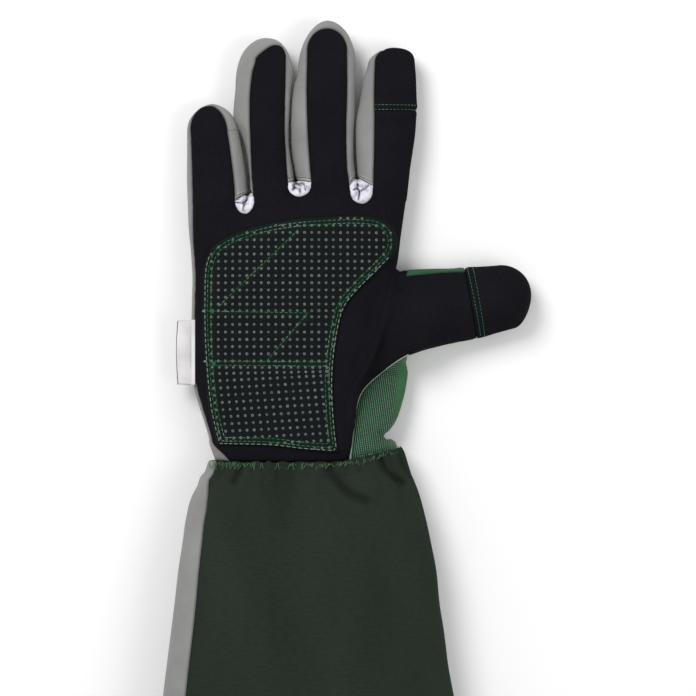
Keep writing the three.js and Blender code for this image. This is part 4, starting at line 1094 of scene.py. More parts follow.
def face_relief(name, points, rim):
    """Relief of a panel's outer face alone: its edge rolls down to the seam, with puckers beside it."""
    relief = -SEAM_DIP * bell(rim, SEAM_ROLL)
    relief = relief + PUCKER * ripple(points, 4.5, 5) * np.exp(-rim / 2.5)
    if name in ("palm_panel", "thumb_front"):
        relief = relief - THENAR_DIP * bell(nearest(points[:, :2], THENAR), THENAR_WIDTH)
    return relief


def flat_face(name, points, rim):
    return np.zeros(len(points))


def border_edges(triangles, count):
    """Directed edges that only one triangle has."""
    edges = np.concatenate([triangles[:, [0, 1]], triangles[:, [1, 2]], triangles[:, [2, 0]]])
    key = edges[:, 0].astype(np.int64) * count + edges[:, 1]
    back = edges[:, 1].astype(np.int64) * count + edges[:, 0]
    return edges[~np.isin(key, back)]


def panel_shape(skin, name, wall, rise=cloth_rise, relief=face_relief):
    """A closed thin wall: the outer face, the inner face one wall inside it, and a rim between them."""
    chosen = skin.names == name
    used, local = np.unique(skin.triangles[chosen], return_inverse=True)
    triangles = local.reshape(-1, 3)
    points, normals = skin.points[used], skin.normals[used]
    rim_edges = border_edges(triangles, len(used))
    rim, seam = skin.rim[used], skin.seam[used]
    along = unit(points[rim_edges[:, 1]] - points[rim_edges[:, 0]])
    along *= seam[rim_edges].all(1)[:, None]
    inward = np.zeros_like(points)
    for k in (0, 1):
        np.add.at(inward, rim_edges[:, k], np.cross(normals[rim_edges[:, k]], along))
    inward = unit(inward)
    middle = points + normals * rise(name, points, rim)[:, None]
    outer = middle + normals * relief(name, points, rim)[:, None] + inward * SEAM_GAP / 2
    inner = middle - normals * wall + inward * 0.01
    count = len(used)
    a, b = rim_edges.T
    faces = [
        triangles,
        triangles[:, ::-1] + count,
        np.column_stack([b, a, a + count]),
        np.column_stack([b, a + count, b + count]),
    ]
    cloth = skin.cloth[skin.loose[chosen]]
    number = np.zeros((count, 2))
    number[triangles.reshape(-1)] = cloth.reshape(-1, 2)
    uv = np.concatenate([cloth, cloth[:, ::-1], number[faces[2] % count], number[faces[3] % count]])
    return {
        "points": np.concatenate([outer, inner]),
        "triangles": np.concatenate(faces),
        "smooth": np.concatenate([np.ones(2 * len(triangles), bool), np.tile(seam[rim_edges].all(1), 2)]),
        "uv": uv.reshape(-1, 2),
        "facts": {"rim": np.concatenate([rim, rim])},
        "outer": outer,
        "faces": triangles,
    }


def put_shape(name, shape):
    return put_mesh(name, shape["points"], shape["triangles"], shape["uv"], shape["facts"], shape["smooth"])


def put_mesh(name, points, triangles, uv=None, facts=None, smooth_faces=True):
    """Makes an object of triangles, its place in its mesh; points and cloth lengths are in millimetres."""
    mesh = bpy.data.meshes.new(name)
    mesh.vertices.add(len(points))
    mesh.vertices.foreach_set("co", (points * MM).astype(np.float32).ravel())
    mesh.loops.add(triangles.size)
    mesh.loops.foreach_set("vertex_index", triangles.astype(np.int32).ravel())
    mesh.polygons.add(len(triangles))
    mesh.polygons.foreach_set("loop_start", np.arange(0, triangles.size, 3, dtype=np.int32))
    mesh.polygons.foreach_set("use_smooth", np.full(len(triangles), smooth_faces))
    if uv is not None:
        mesh.uv_layers.new(name="cloth").data.foreach_set("uv", (uv * MM).astype(np.float32).ravel())
    for fact, values in (facts or {}).items():
        mesh.attributes.new(fact, "FLOAT", "POINT").data.foreach_set("value", values.astype(np.float32))
    mesh.update(calc_edges=True)
    mesh.validate()
    return add_object(name, mesh)


def add_object(name, data):
    thing = bpy.data.objects.new(name, data)
    bpy.context.scene.collection.objects.link(thing)
    return thing


def dress(piece, finish, slot, *nodes):
    """Gives a piece its finish, hides the nodes that it stands for, and hangs it on the body that it rides
    on; its slot is not used.
    """
    piece.data.materials.append(finish)
    if nodes:
        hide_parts(*nodes)
    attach(piece, "root")
    return piece


# Finishes


class Finish:
    """A procedural material, with short calls for its nodes."""

    def __init__(self, name, roughness, specular=0.2, **shader):
        self.material = bpy.data.materials.new(name)
        self.material.use_nodes = True
        self.tree = self.material.node_tree
        self.shader = self.tree.nodes["Principled BSDF"]
        self.shader.inputs["Roughness"].default_value = roughness
        self.shader.inputs["Specular IOR Level"].default_value = specular
        for socket, value in shader.items():
            self.shader.inputs[socket.replace("_", " ").title()].default_value = value

    def add(self, kind, links=None, **settings):
        node = self.tree.nodes.new("ShaderNode" + kind)
        for setting, value in settings.items():
            if hasattr(node, setting):
                setattr(node, setting, value)
            else:
                node.inputs[setting.replace("_", " ").title()].default_value = value
        for socket, source in (links or {}).items():
            self.tree.links.new(source, node.inputs[socket])
        return node

    def place(self, output="Object", scale=(1, 1, 1), turn=0.0):
        source = self.add("TexCoord").outputs[output]
        mapping = self.add("Mapping", {"Vector": source})
        mapping.inputs["Scale"].default_value = scale
        mapping.inputs["Rotation"].default_value = (0, 0, turn)
        return mapping.outputs["Vector"]

    def noise(self, where, scale, detail=3.0, roughness=0.55):
        node = self.add("TexNoise", {"Vector": where}, scale=scale, detail=detail, roughness=roughness)
        return node.outputs["Fac"]

    def bands(self, where, pitch, direction, distortion=0.0):
        """Bands with one band in each pitch, in metres."""
        scale = 2 * math.pi / 20 / pitch
        node = self.add(
            "TexWave", {"Vector": where},
            bands_direction=direction, scale=scale, distortion=distortion, detail=1.0,
        )
        return node.outputs["Fac"]

    def sum(self, operation, a, b):
        node = self.add("Math", operation=operation)
        for socket, value in zip(node.inputs, (a, b)):
            if isinstance(value, (int, float)):
                socket.default_value = value
            else:
                self.tree.links.new(value, socket)
        return node.outputs[0]

    def weave(self, where, pitch, distortion=0.0):
        """Over and under: the bands of both directions together, or neither."""
        across, along = self.bands(where, pitch, "X", distortion), self.bands(where, pitch, "Y", distortion)
        both = self.sum("MULTIPLY", across, along)
        neither = self.sum("MULTIPLY", self.sum("SUBTRACT", 1.0, across), self.sum("SUBTRACT", 1.0, along))
        return self.sum("ADD", both, neither)

    def fact(self, name):
        return self.add("Attribute", attribute_name=name).outputs["Fac"]

    def ramp(self, factor, *stops):
        """Colour that runs through the stops: (place, sRGB colour)."""
        node = self.add("ValToRGB", {"Fac": factor})
        elements = node.color_ramp.elements
        while len(elements) < len(stops):
            elements.new(0.5)
        for element, (place, colour) in zip(elements, stops):
            element.position = place
            element.color = linear(colour)
        return node.outputs["Color"]

    def blend(self, factor, a, b, mode="MIX"):
        node = self.add("Mix", data_type="RGBA", blend_type=mode)
        for socket, value in zip((node.inputs[0], node.inputs[6], node.inputs[7]), (factor, a, b)):
            if isinstance(value, (int, float, tuple)):
                socket.default_value = value
            else:
                self.tree.links.new(value, socket)
        return node.outputs[2]

    def bump(self, height, distance, strength=1.0, under=None):
        node = self.add("Bump", {"Height": height}, strength=strength, distance=distance)
        if under is not None:
            self.tree.links.new(under, node.inputs["Normal"])
        return node.outputs["Normal"]

    def done(self, colour, normal):
        self.tree.links.new(colour, self.shader.inputs["Base Color"])
        self.tree.links.new(normal, self.shader.inputs["Normal"])
        return self.material


def linear(colour):
    """An sRGB colour of 0 to 255 as linear light, with full alpha."""
    share = np.array(colour) / 255
    light = np.where(share <= 0.04045, share / 12.92, ((share + 0.055) / 1.055) ** 2.4)
    return (*light.tolist(), 1.0)


def suede():
    """Black microsuede: fine nap and a faint cloudy shade."""
    made = Finish("suede", 0.9, 0.04)
    where = made.place()
    nap = made.noise(where, 1900, 4)
    cloud = made.noise(where, 38, 3)
    colour = made.ramp(cloud, (0.3, (17, 16, 20)), (0.7, (23, 22, 27)))
    colour = made.blend(0.35, colour, made.ramp(nap, (0.35, (9, 9, 11)), (0.7, (36, 35, 41))))
    normal = made.bump(nap, 0.0002, 0.5)
    return made.done(colour, made.bump(cloud, 0.0006, 0.4, normal))


def stretch_cloth(name, low, high, fine=0.0006):
    """Smooth knitted cloth: a fine weave that follows the strip, with a soft cloudy shade and painted shade
    along its seams.
    """
    made = Finish(name, 0.72, 0.25, sheen_weight=0.08)
    where = made.place("UV")
    weave = made.weave(where, fine, 0.4)
    cloud = made.noise(made.place(), 45, 3)
    threads = made.ramp(weave, (0, low), (1, high))
    colour = made.blend(0.12, made.ramp(cloud, (0.3, low), (0.7, high)), threads, "OVERLAY")
    colour = made.blend(made.fact("hem"), colour, linear((172, 174, 172)))
    # Painted shade: the colour darkens to about half at a seam, fading out within about a millimetre and a
    # half of it.
    edge = made.sum("MULTIPLY", made.fact("rim"), 0.7)
    shade = made.ramp(edge, (0.0, (120, 120, 118)), (0.9, (255, 255, 255)))
    colour = made.blend(0.6, colour, shade, "MULTIPLY")
    normal = made.bump(weave, 0.00012, 0.6)
    return made.done(colour, made.bump(cloud, 0.0008, 0.35, normal))


def green_weave():
    """Ribbed green webbing: dark grooves with pale flecks where the threads pass over."""
    made = Finish("green_weave", 0.7, 0.3, sheen_weight=0.1)
    where = made.place(turn=math.radians(-8))
    upright = made.bands(where, 0.00105, "X", 0.5)
    level = made.bands(where, 0.00105, "Y", 0.5)
    ribs = made.blend(made.fact("crossways"), upright, level)
    crossing = made.blend(made.fact("crossways"), level, upright)
    fleck = made.noise(where, 1300, 2)
    flecks = made.sum("ADD", made.sum("MULTIPLY", crossing, 0.5), fleck)
    pale = made.sum("MULTIPLY", made.sum("MULTIPLY", ribs, ribs), flecks)
    base = made.ramp(pale, (0.05, (16, 46, 27)), (0.4, (35, 76, 48)), (0.9, (104, 144, 118)))
    cloud = made.noise(made.place(), 60, 2)
    smooth_cloth = made.ramp(cloud, (0.3, (32, 78, 44)), (0.7, (48, 98, 58)))
    colour = made.blend(made.fact("plain"), base, smooth_cloth)
    normal = made.bump(ribs, 0.0003, 0.7)
    return made.done(colour, made.bump(fleck, 0.0001, 0.4, normal))


def crumpled_white():
    """White jersey with pressed creases, painted dark along them as shade."""
    made = Finish("crumpled_white", 0.65, 0.25, sheen_weight=0.15)
    where = made.place()
    crease = made.noise(where, 330, 2)
    knit = made.noise(where, 2400, 2)
    colour = made.ramp(crease, (0.34, (190, 188, 204)), (0.52, (226, 224, 234)))
    # Painted shade: the white turns near black along the creases.
    pressed = made.ramp(made.fact("crease"), (0.25, (0, 0, 0)), (0.95, (255, 255, 255)))
    colour = made.blend(pressed, colour, linear((52, 50, 60)))
    normal = made.bump(crease, 0.0006, 0.6)
    return made.done(colour, made.bump(knit, 0.0001, 0.4, normal))


def cuff_cloth():
    """Dark green cotton drill: a fine twill, slight slubs and a broad soft shade, with painted light and
    shade in lengthwise patches and painted shade along the pressed folds.
    """
    made = Finish("cuff_cloth", 0.85, 0.06)
    where = made.place("UV", turn=math.radians(35))
    twill = made.bands(where, 0.0007, "X", 0.8)
    slub = made.noise(made.place("UV", (0.3, 1, 1)), 900, 4)
    cloud = made.noise(made.place(scale=(1.6, 0.6, 1)), 22, 3)
    colour = made.ramp(cloud, (0.3, (31, 38, 32)), (0.7, (41, 49, 41)))
    colour = made.blend(0.3, colour, made.ramp(slub, (0.3, (23, 28, 25)), (0.7, (57, 67, 57))))
    colour = made.blend(0.25, colour, made.ramp(twill, (0, (24, 30, 26)), (1, (50, 58, 50))))
    # Painted light and shade: lengthwise lighter and darker patches, as if lit on the crests and shaded in
    # the hollows of soft folds.
    colour = made.blend(0.4, colour, made.ramp(made.fact("crest"), (0.0, (24, 30, 25)), (1.0, (46, 54, 45))))
    # Painted shade: the cloth darkens along the pressed folds.
    colour = made.blend(made.sum("MULTIPLY", made.fact("fold"), 0.65), colour, linear((17, 20, 18)))
    normal = made.bump(twill, 0.00012, 0.5)
    return made.done(colour, made.bump(slub, 0.00015, 0.5, normal))


def grip_rubber():
    """Dark rubberised cloth with a fine crosswise grain."""
    made = Finish("grip_rubber", 0.7, 0.05)
    where = made.place()
    grain = made.noise(where, 1300, 4)
    weave = made.weave(where, 0.0009, 0.5)
    colour = made.ramp(grain, (0.3, (9, 12, 13)), (0.72, (26, 30, 31)))
    colour = made.blend(0.3, colour, made.ramp(weave, (0, (6, 9, 9)), (1, (26, 31, 31))))
    sewn = made.sum("MULTIPLY", made.fact("sewn"), 0.5)
    colour = made.blend(sewn, colour, linear((14, 42, 28)))
    normal = made.bump(weave, 0.00015, 0.5)
    return made.done(colour, made.bump(grain, 0.0002, 0.5, normal))


def dot_rubber():
    """Grey printed dots, with a painted highlight on the raised ring of each, darker in the middle and at the
    foot.
    """
    made = Finish("dot_rubber", 0.45, 0.2)
    where = made.place()
    mottle = made.noise(where, 700, 2)
    # Painted highlight: the pale ring at about two thirds of each dot's radius, where its dome is highest.
    ring = made.ramp(
        made.fact("ring"),
        (0.0, (34, 38, 39)), (0.4, (58, 62, 63)), (0.68, (118, 122, 121)), (0.92, (46, 50, 50)),
    )
    colour = made.blend(0.4, ring, made.ramp(mottle, (0.3, (24, 28, 28)), (0.75, (132, 136, 134))))
    return made.done(colour, made.bump(mottle, 0.0002, 0.5))


def thread():
    """Green sewing thread: bright in places and greyed in others, with a twist."""
    made = Finish("thread", 0.55, 0.35)
    where = made.place()
    wear = made.noise(where, 65, 2)
    twist = made.noise(where, 3800, 2)
    colour = made.ramp(wear, (0.36, (22, 96, 54)), (0.5, (48, 104, 74)), (0.64, (116, 132, 120)))
    strand = made.ramp(twist, (0.3, (40, 70, 54)), (0.7, (170, 190, 176)))
    colour = made.blend(0.35, colour, strand, "OVERLAY")
    return made.done(colour, made.bump(twist, 0.0001, 0.5))


def label_tape():
    """White woven satin tape, with a painted shadow along its folded edge."""
    made = Finish("label_tape", 0.5, 0.4)
    where = made.place()
    weave = made.weave(where, 0.0005, 0.3)
    shade = made.noise(where, 90, 2)
    colour = made.ramp(shade, (0.3, (214, 212, 214)), (0.7, (238, 236, 236)))
    colour = made.blend(0.2, colour, made.ramp(weave, (0, (196, 194, 198)), (1, (244, 242, 242))), "MULTIPLY")
    # Painted shadow: a thin near-black line along the folded outer edge, thinner halfway along.
    fold = made.ramp(made.fact("fold"), (0.965, (0, 0, 0)), (0.98, (255, 255, 255)))
    colour = made.blend(fold, colour, linear((22, 22, 24)))
    return made.done(colour, made.bump(weave, 0.0001, 0.5))


def plain_fibre(name, low, high, roughness=0.7):
    """A fine fibrous edge or thread in one shade."""
    made = Finish(name, roughness, 0.25)
    fibre = made.noise(made.place(), 2600, 3)
    return made.done(made.ramp(fibre, (0.3, low), (0.7, high)), made.bump(fibre, 0.0001, 0.5))


SUEDE = suede()
GREY = stretch_cloth("grey_cloth", (131, 131, 130), (146, 146, 145))
GREEN = stretch_cloth("green_cloth", (36, 80, 52), (50, 96, 66), 0.0008)
WEAVE = green_weave()
WHITE = crumpled_white()
CUFF_CLOTH = cuff_cloth()
RUBBER = grip_rubber()
DOTS = dot_rubber()
THREAD = thread()
TAPE = label_tape()
CUFF_THREAD = plain_fibre("cuff_thread", (34, 74, 42), (98, 132, 98))
PALE_THREAD = plain_fibre("pale_thread", (84, 104, 92), (150, 164, 152))
PALE_EDGE = plain_fibre("raw_edge", (104, 124, 110), (172, 184, 172))
SEAM_THREAD = plain_fibre("seam_thread", (20, 52, 32), (52, 92, 66))

FINISHES = {
    "suede": SUEDE, "suede_cap": SUEDE, "green_cloth": GREEN, "green_weave": WEAVE, "grey_cloth": GREY,
    "white_stretch": WHITE,
}

hand, strip_grid, strip_names = hand_skin()
web_seams = strip_grid[:, web_ends()].reshape(-1, 3)
shapes = {}
for node, slot in HAND_SLOTS.items():
    shape = panel_shape(hand, node, SUEDE_WALL if slot.startswith("suede") else CLOTH_WALL)
    shapes[node] = shape
    facts = shape["facts"]
    if node.startswith("fourchette"):
        facts["hem"] = 1 - smooth(nearest(shape["points"], web_seams), HEM_BY_WEB, HEM_BY_WEB + 0.4)
    if node == "thumb_base":
        # Plain cloth beside the woven part, whose ribs turn level farther up
        x, y = shape["points"][:, 0], shape["points"][:, 1]
        facts["plain"] = smooth(x - 0.1 * (y + 30), 46.5, 50)
        facts["crossways"] = smooth(y + 0.6 * (x - 45), -24, -16)
    if slot == "white_stretch":
        # Painted shade: the creases' depth, by which the white cloth is darkened along them.
        facts["crease"] = crease_depth(shape["points"]) / CREASE_DEPTH
    dress(put_shape(node + "_sewn", shape), FINISHES[slot], slot, node)


LEAST_SEEN_TILT = 0.12


class Surface:
    """The seen face of some pieces, to lay small things on."""

    def __init__(self, *shapes):
        self.points = np.concatenate([shape["outer"] for shape in shapes])
        self.normals = np.concatenate([point_normals(shape["outer"], shape["faces"]) for shape in shapes])
        seen = self.normals[:, 2] > LEAST_SEEN_TILT
        self.points, self.normals = self.points[seen], self.normals[seen]

    def read(self, plan):
        """Place and normal above each plan point: the mean of its four nearest points, by closeness."""
        places, normals = [], []
        for part in np.array_split(plan, max(1, len(plan) // 150)):
            square = ((part[:, None] - self.points[None, :, :2]) ** 2).sum(-1)
            near = np.argpartition(square, 4, axis=1)[:, :4]
            weight = 1 / (np.take_along_axis(square, near, 1) + 0.01)
            weight /= weight.sum(1, keepdims=True)
            normal = (self.normals[near] * weight[..., None]).sum(1)
            height = (self.points[near][..., 2] * weight).sum(1)
            places.append(np.column_stack([part, height]))
            normals.append(unit(normal))
        return np.concatenate(places), np.concatenate(normals)


def join_shapes(parts):
    """Points and triangles of several shapes as one."""
    counts = np.cumsum([0] + [len(points) for points, _ in parts])
    points = np.concatenate([points for points, _ in parts])
    return points, np.concatenate([triangles + start for (_, triangles), start in zip(parts, counts)])


def sew(name, parts, finish, slot):
    """Puts rows of stitches into the scene as one piece."""
    dress(put_mesh(name, *join_shapes(parts)), finish, slot)


def repeat_shape(places, along, across, up, triangles):
    """A small shape, given along three directions for each place, as one mesh."""
    count, size = along.shape[0], along.shape[1]
    points = places[:, None] + along + across + up
    numbers = triangles[None] + (np.arange(count) * size)[:, None, None]
    return points.reshape(-1, 3), numbers.reshape(-1, 3)


def ring_faces(rings, sides):
    """Triangles of a tube of rings, with a point at each end after them."""
    faces = []
    for i in range(rings - 1):
        for j in range(sides):
            a, b = i * sides + j, i * sides + (j + 1) % sides
            faces += [(a, b, b + sides), (a, b + sides, a + sides)]
    first, last = rings * sides, rings * sides + 1
    for j in range(sides):
        k = (j + 1) % sides
        end = (rings - 1) * sides
        faces += [(k, j, first), (end + j, end + k, last)]
    return np.array(faces)


STITCH_AT = np.array([0.0, 0.18, 0.5, 0.82, 1.0])
STITCH_GIRTH = np.array([0.5, 1.0, 1.05, 1.0, 0.5])
STITCH_SIDES = 5


def stitch_mesh(starts, ends, normals, radius=0.22, lift=0.2):
    """Each stitch is a short tube from start to end that bows off the cloth as half a sine."""
    run = ends - starts
    ahead = unit(run)
    side = unit(np.cross(normals, ahead))
    top = np.cross(ahead, side)
    turn = np.arange(STITCH_SIDES) * 2 * np.pi / STITCH_SIDES
    girth = (radius * STITCH_GIRTH)[:, None]
    wide = np.append((girth * np.cos(turn)).ravel(), [0, 0])
    bow = (lift * np.sin(np.pi * STITCH_AT) - radius * 0.3)[:, None]
    high = np.append((girth * np.sin(turn) + bow).ravel(), [-radius * 0.3] * 2)
    far = np.append(np.repeat(STITCH_AT, STITCH_SIDES), [-0.04, 1.04])
    return repeat_shape(
        starts,
        run[:, None] * far[None, :, None],
        side[:, None] * wide[None, :, None],
        top[:, None] * high[None, :, None],
        ring_faces(len(STITCH_AT), STITCH_SIDES)[:, ::-1],
    )


def stitch_row(path, normals, pitch=2.4, share=0.72, **sizes):
    """Stitches along a path in space: one in each pitch, as long as that share of it."""
    line = even_line(np.column_stack([path, normals]), pitch)
    starts, steps = line[:-1], np.diff(line, axis=0)
    ends = starts + steps * share
    return stitch_mesh(starts[:, :3], ends[:, :3], starts[:, 3:], **sizes)


def laid_row(surface, plan, pitch=2.4, **sizes):
    """Stitches along a line of the plan, laid on a surface."""
    places, normals = surface.read(even_line(plan, 0.6))
    return stitch_row(places, normals, pitch, **sizes)


def tube_mesh(path, normals, radius, sides=6):
    """A round tube along a path, closed at both ends."""
    ahead = unit(np.gradient(path, axis=0))
    side = unit(np.cross(normals, ahead))
    top = np.cross(ahead, side)
    turn = np.arange(sides) * 2 * np.pi / sides
    girth = np.broadcast_to(radius, len(path))[:, None, None]
    out = side[:, None] * np.cos(turn)[:, None] + top[:, None] * np.sin(turn)[:, None]
    rings = path[:, None] + girth * out
    points = np.concatenate([rings.reshape(-1, 3), path[[0, -1]]])
    return points, ring_faces(len(path), sides)[:, ::-1]


# Grip patch


def drawn_in(points):
    """Plan points measured at the seams' level, moved in to where the camera sees them on the palm."""
    return CAMERA_PLAN + (np.asarray(points, float) - CAMERA_PLAN) * HIGH_SHARE


def smooth_curve(points):
    """Centripetal Catmull-Rom curve through the points, in even steps of about half a millimetre."""
    p = drawn_in(np.array(points, float) * (PALM_WIDTH, PALM_LENGTH))
    p = np.vstack([2 * p[0] - p[1], p, 2 * p[-1] - p[-2]])
    t = np.linspace(0, 1, 25)[:, None]
    parts = []
    for a, b, c, d in zip(p, p[1:], p[2:], p[3:]):
        before, here, after = (np.linalg.norm(q - r) ** 0.5 for q, r in ((b, a), (c, b), (d, c)))
        start = ((b - a) / before - (c - a) / (before + here) + (c - b) / here) * here
        end = ((c - b) / here - (d - b) / (here + after) + (d - c) / after) * here
        bend = 3 * (c - b) - 2 * start - end
        parts.append(b + start * t + bend * t**2 + (2 * (b - c) + start + end) * t**3)
    return even_line(np.concatenate(parts), 0.5)


def along_curve(curve, share):
    at = share * (len(curve) - 1)
    return np.stack([np.interp(at, np.arange(len(curve)), curve[:, k]) for k in (0, 1)], -1)


def palm_normal(x, y):
    step = 0.5
    return unit(np.stack([
        palm_top(x - step, y) - palm_top(x + step, y),
        palm_top(x, y - step) - palm_top(x, y + step),
        np.full_like(x, 2 * step),
    ], -1))


def patch_grid(left, right, top, bottom):
    """The four edges blended across, less the straight blend of the corners, lifted off the palm."""
    a = np.linspace(0, 1, PATCH_COLUMNS + 1)[None, :, None]
    b = np.linspace(0, 1, PATCH_ROWS + 1)[:, None, None]
    low, high = along_curve(bottom, a[..., 0]), along_curve(top, a[..., 0])
    near, far = along_curve(left, b[..., 0]), along_curve(right, b[..., 0])
    corners = mix(mix(low[:, :1], low[:, -1:], a), mix(high[:, :1], high[:, -1:], a), b)
    plan = mix(near, far, a) + mix(low, high, b) - corners
    x, y = plan[..., 0], plan[..., 1]
    normal = palm_normal(x, y)
    place = np.stack([x, y, palm_top(x, y)], -1)
    rise = 0.3 * ripple(place, 26, 3)
    return place + normal * (PATCH_GAP + PATCH_WALL + rise)[..., None]


def inset(border, distance):
    """A closed border drawn inwards, without the parts that come too near to it at its corners."""
    ahead = unit(np.roll(border, -1, 0) - np.roll(border, 1, 0))
    line = border + np.column_stack([-ahead[:, 1], ahead[:, 0]]) * distance
    return line[nearest(line, border) > distance - 0.1]


def inside(points, border):
    """True for the points from which a level ray crosses the border an odd number of times."""
    (x, y), (x1, y1), (x2, y2) = points.T[..., None], border.T, np.roll(border, -1, 0).T
    spans = (y1 > y) != (y2 > y)
    crossing = x1 + (y - y1) * (x2 - x1) / np.where(y2 == y1, 1e-9, y2 - y1)
    return (spans & (x < crossing)).sum(1) % 2 == 1


def dot_places(border):
    """A square grid of dots above the double quilting; below it the rows come to lean up to the right."""
    column, upper = np.meshgrid(DOT_COLUMNS, UPPER_DOT_ROWS)
    x = DOTS_START[0] + column * DOT_PITCH
    y = DOTS_START[1] - upper * DOT_PITCH + 0.45 * smooth(upper, 7.5, 9)
    y = y + 0.5 * (upper > 9) * bell(upper - 10, 1.4)
    column, lower = np.meshgrid(DOT_COLUMNS, LOWER_DOT_ROWS)
    drift = LOWER_DOTS_DRIFT * (lower / 9) ** 1.3
    lower_x = LOWER_DOTS_START[0] + drift + column * DOT_PITCH
    lean = LOWER_DOTS_LEAN * smooth(lower, 0, 2.5) * (lower_x - LOWER_DOTS_START[0])
    down = np.maximum(lower * LOWER_DOT_PITCH - 0.5 * smooth(lower, 0, 1), 0)
    lower_y = LOWER_DOTS_START[1] - down + lean
    dots = np.concatenate([
        np.column_stack([x.ravel(), y.ravel()]),
        np.column_stack([lower_x.ravel(), lower_y.ravel()]),
    ])
    dots = drawn_in(dots)
    dots = dots[inside(dots, border)]
    return dots[nearest(dots, border) > DOT_RADIUS + 0.25]


def dot_mesh(places, normals, random):
    """Each dot is a low dome of three rings, flat on top, of slightly varied width."""
    shares = np.array([0.35, 0.72, 1.0])
    heights = np.array([0.86, 1.0, -0.15])
    turn = np.arange(8) * np.pi / 4
    radius = np.append(np.outer(shares, np.ones(8)).ravel(), 0)
    across = np.append(np.tile(np.cos(turn), 3), 0) * radius * DOT_RADIUS
    along = np.append(np.tile(np.sin(turn), 3), 0) * radius * DOT_RADIUS
    up = np.append(np.repeat(heights, 8), 0.8) * DOT_HEIGHT
    faces = []
    for j in range(8):
        k = (j + 1) % 8
        faces.append((j, k, 24))
        for ring in (0, 8):
            faces += [(ring + j, ring + 8 + j, ring + 8 + k), (ring + j, ring + 8 + k, ring + k)]
    side = -unit(np.cross(normals, (0.0, 1.0, 0.0)))
    other = np.cross(normals, side)
    size = random.uniform(0.9, 1.08, len(places))[:, None, None]
    mesh = repeat_shape(
        places,
        side[:, None] * across[None, :, None] * size,
        other[:, None] * along[None, :, None] * size,
        normals[:, None] * up[None, :, None],
        np.array(faces),
    )
    return mesh, np.tile(radius, len(places))


def grip_patch():
    """The patch, its dots and its stitches."""
    left, right, top, bottom = map(smooth_curve, (PATCH_LEFT, PATCH_RIGHT, PATCH_TOP, PATCH_BOTTOM))
    border = np.concatenate([bottom[:-1], right[:-1], top[::-1][:-1], left[::-1][:-1]])
    rows = [inset(border, distance) for distance in EDGE_ROWS]
    quilting = [even_line(drawn_in(line), 0.5) for line in QUILT_LINES]
    sewn = np.concatenate(rows + quilting)

    def relief(name, points, rim):
        dip = SEAM_ROW_DIP * bell(nearest(points[:, :2], sewn), SEAM_ROW_WIDTH)
        return -PATCH_EDGE_DIP * bell(rim, EDGE_ROLL) - dip + FINE_PUCKER * ripple(points, 6, 31)

    skin = Skin()
    grid = patch_grid(left, right, top, bottom)
    skin.add(grid, plan_cloth(grid), "palm_grip_patch")
    skin.join()
    shape = panel_shape(skin, "palm_grip_patch", PATCH_WALL - 0.3, flat_face, relief)
    shape["facts"]["sewn"] = bell(nearest(shape["points"][:, :2], sewn), 1.3)
    dress(put_shape("grip_patch_sewn", shape), RUBBER, "grip_rubber", "palm_grip_patch")
    surface = Surface(shape)
    places, normals = surface.read(dot_places(border))
    (points, triangles), rings = dot_mesh(places, normals, np.random.default_rng(11))
    dress(put_mesh("grip_dots", points, triangles, None, {"ring": rings}), DOTS, "grip_rubber")
    closed = [np.vstack([row, row[:1]]) for row in rows]
    outer = inset(border, OUTER_ROW)
    low = outer[outer[:, 1] < OUTER_ROW_TOP]
    breaks = np.flatnonzero(np.linalg.norm(np.diff(low, axis=0), axis=1) > 5) + 1
    parts = [laid_row(surface, line) for line in closed + quilting]
    parts += [bartack(surface, place, 2.4, 4) for place in BARTACKS]
    sew("grip_stitches", parts, THREAD, "grip_rubber")
    parts = [laid_row(surface, line, 2.9, radius=0.2) for line in np.split(low, breaks) if len(line) > 20]
    parts += [bartack(surface, place, 1.1, 3) for place in KNOTS]
    sew("grip_edge_stitches", parts, PALE_THREAD, "grip_rubber")


def bartack(surface, place, length, count):
    """A few short stitches side by side, crossed by one more."""
    x, y = drawn_in([place])[0]
    shift = (np.arange(count) - (count - 1) / 2) * 0.42

    def stitch_ends(way):
        beside = np.column_stack([x + shift, np.full(count, y + way * length / 2)])
        return surface.read(np.append(beside, [(x + way * length / 2, y)], axis=0))

    starts, normals = stitch_ends(-1)
    ends, _ = stitch_ends(1)
    return stitch_mesh(starts, ends, normals, 0.27, 0.4)


grip_patch()

# Cuff


def cuff_edge_rise(x):
    """How far the gathered edge lies higher, towards the thumb's base."""
    return CUFF_EDGE_RISE * smooth(x, 15, 58)


def cuff_grid(at, angle):
    """Squared-off ellipses above, flat on the floor below, with gathers that die out from the wrist."""
    left, right = CUFF.read("left", at) * CUFF_WIDTH, CUFF.read("right", at) * CUFF_WIDTH
    height = mix(CUFF_WRIST_HEIGHT, CUFF_MOUTH_HEIGHT, at)
    waist = mix(PALM_WAIST, CUFF_WAIST, smooth(at, 0, 0.4))
    across = np.sign(np.cos(angle)) * np.abs(np.cos(angle)) ** (2 / DOME_POWER)
    x = (left + right) / 2 + (right - left) / 2 * across
    upper = np.sin(angle) >= 0
    lift = np.abs(np.sin(angle)) ** (2 / DOME_POWER)
    z = np.where(upper, waist + (height - waist) * lift, dome_bottom(np.minimum(np.abs(across), 1), waist))
    down = at * CUFF_LENGTH
    gathers = GATHER_DEPTH * bell(down, GATHER_REACH) * np.sin(GATHER_COUNT * angle) ** 2
    fold = np.where(upper, gathers, 0)
    y = WRIST_Y + CUFF_EDGE - down + cuff_edge_rise(x) * (1 - smooth(down, 0, 45))
    uneven = 0.6 + 0.4 * np.sin(7 * angle + 1)
    y = y + EDGE_SCALLOP * np.sin(EDGE_SCALLOPS * angle) * uneven * bell(down, 3)
    return np.stack([x + fold * np.cos(angle), y, z + fold * np.sin(angle)], -1)


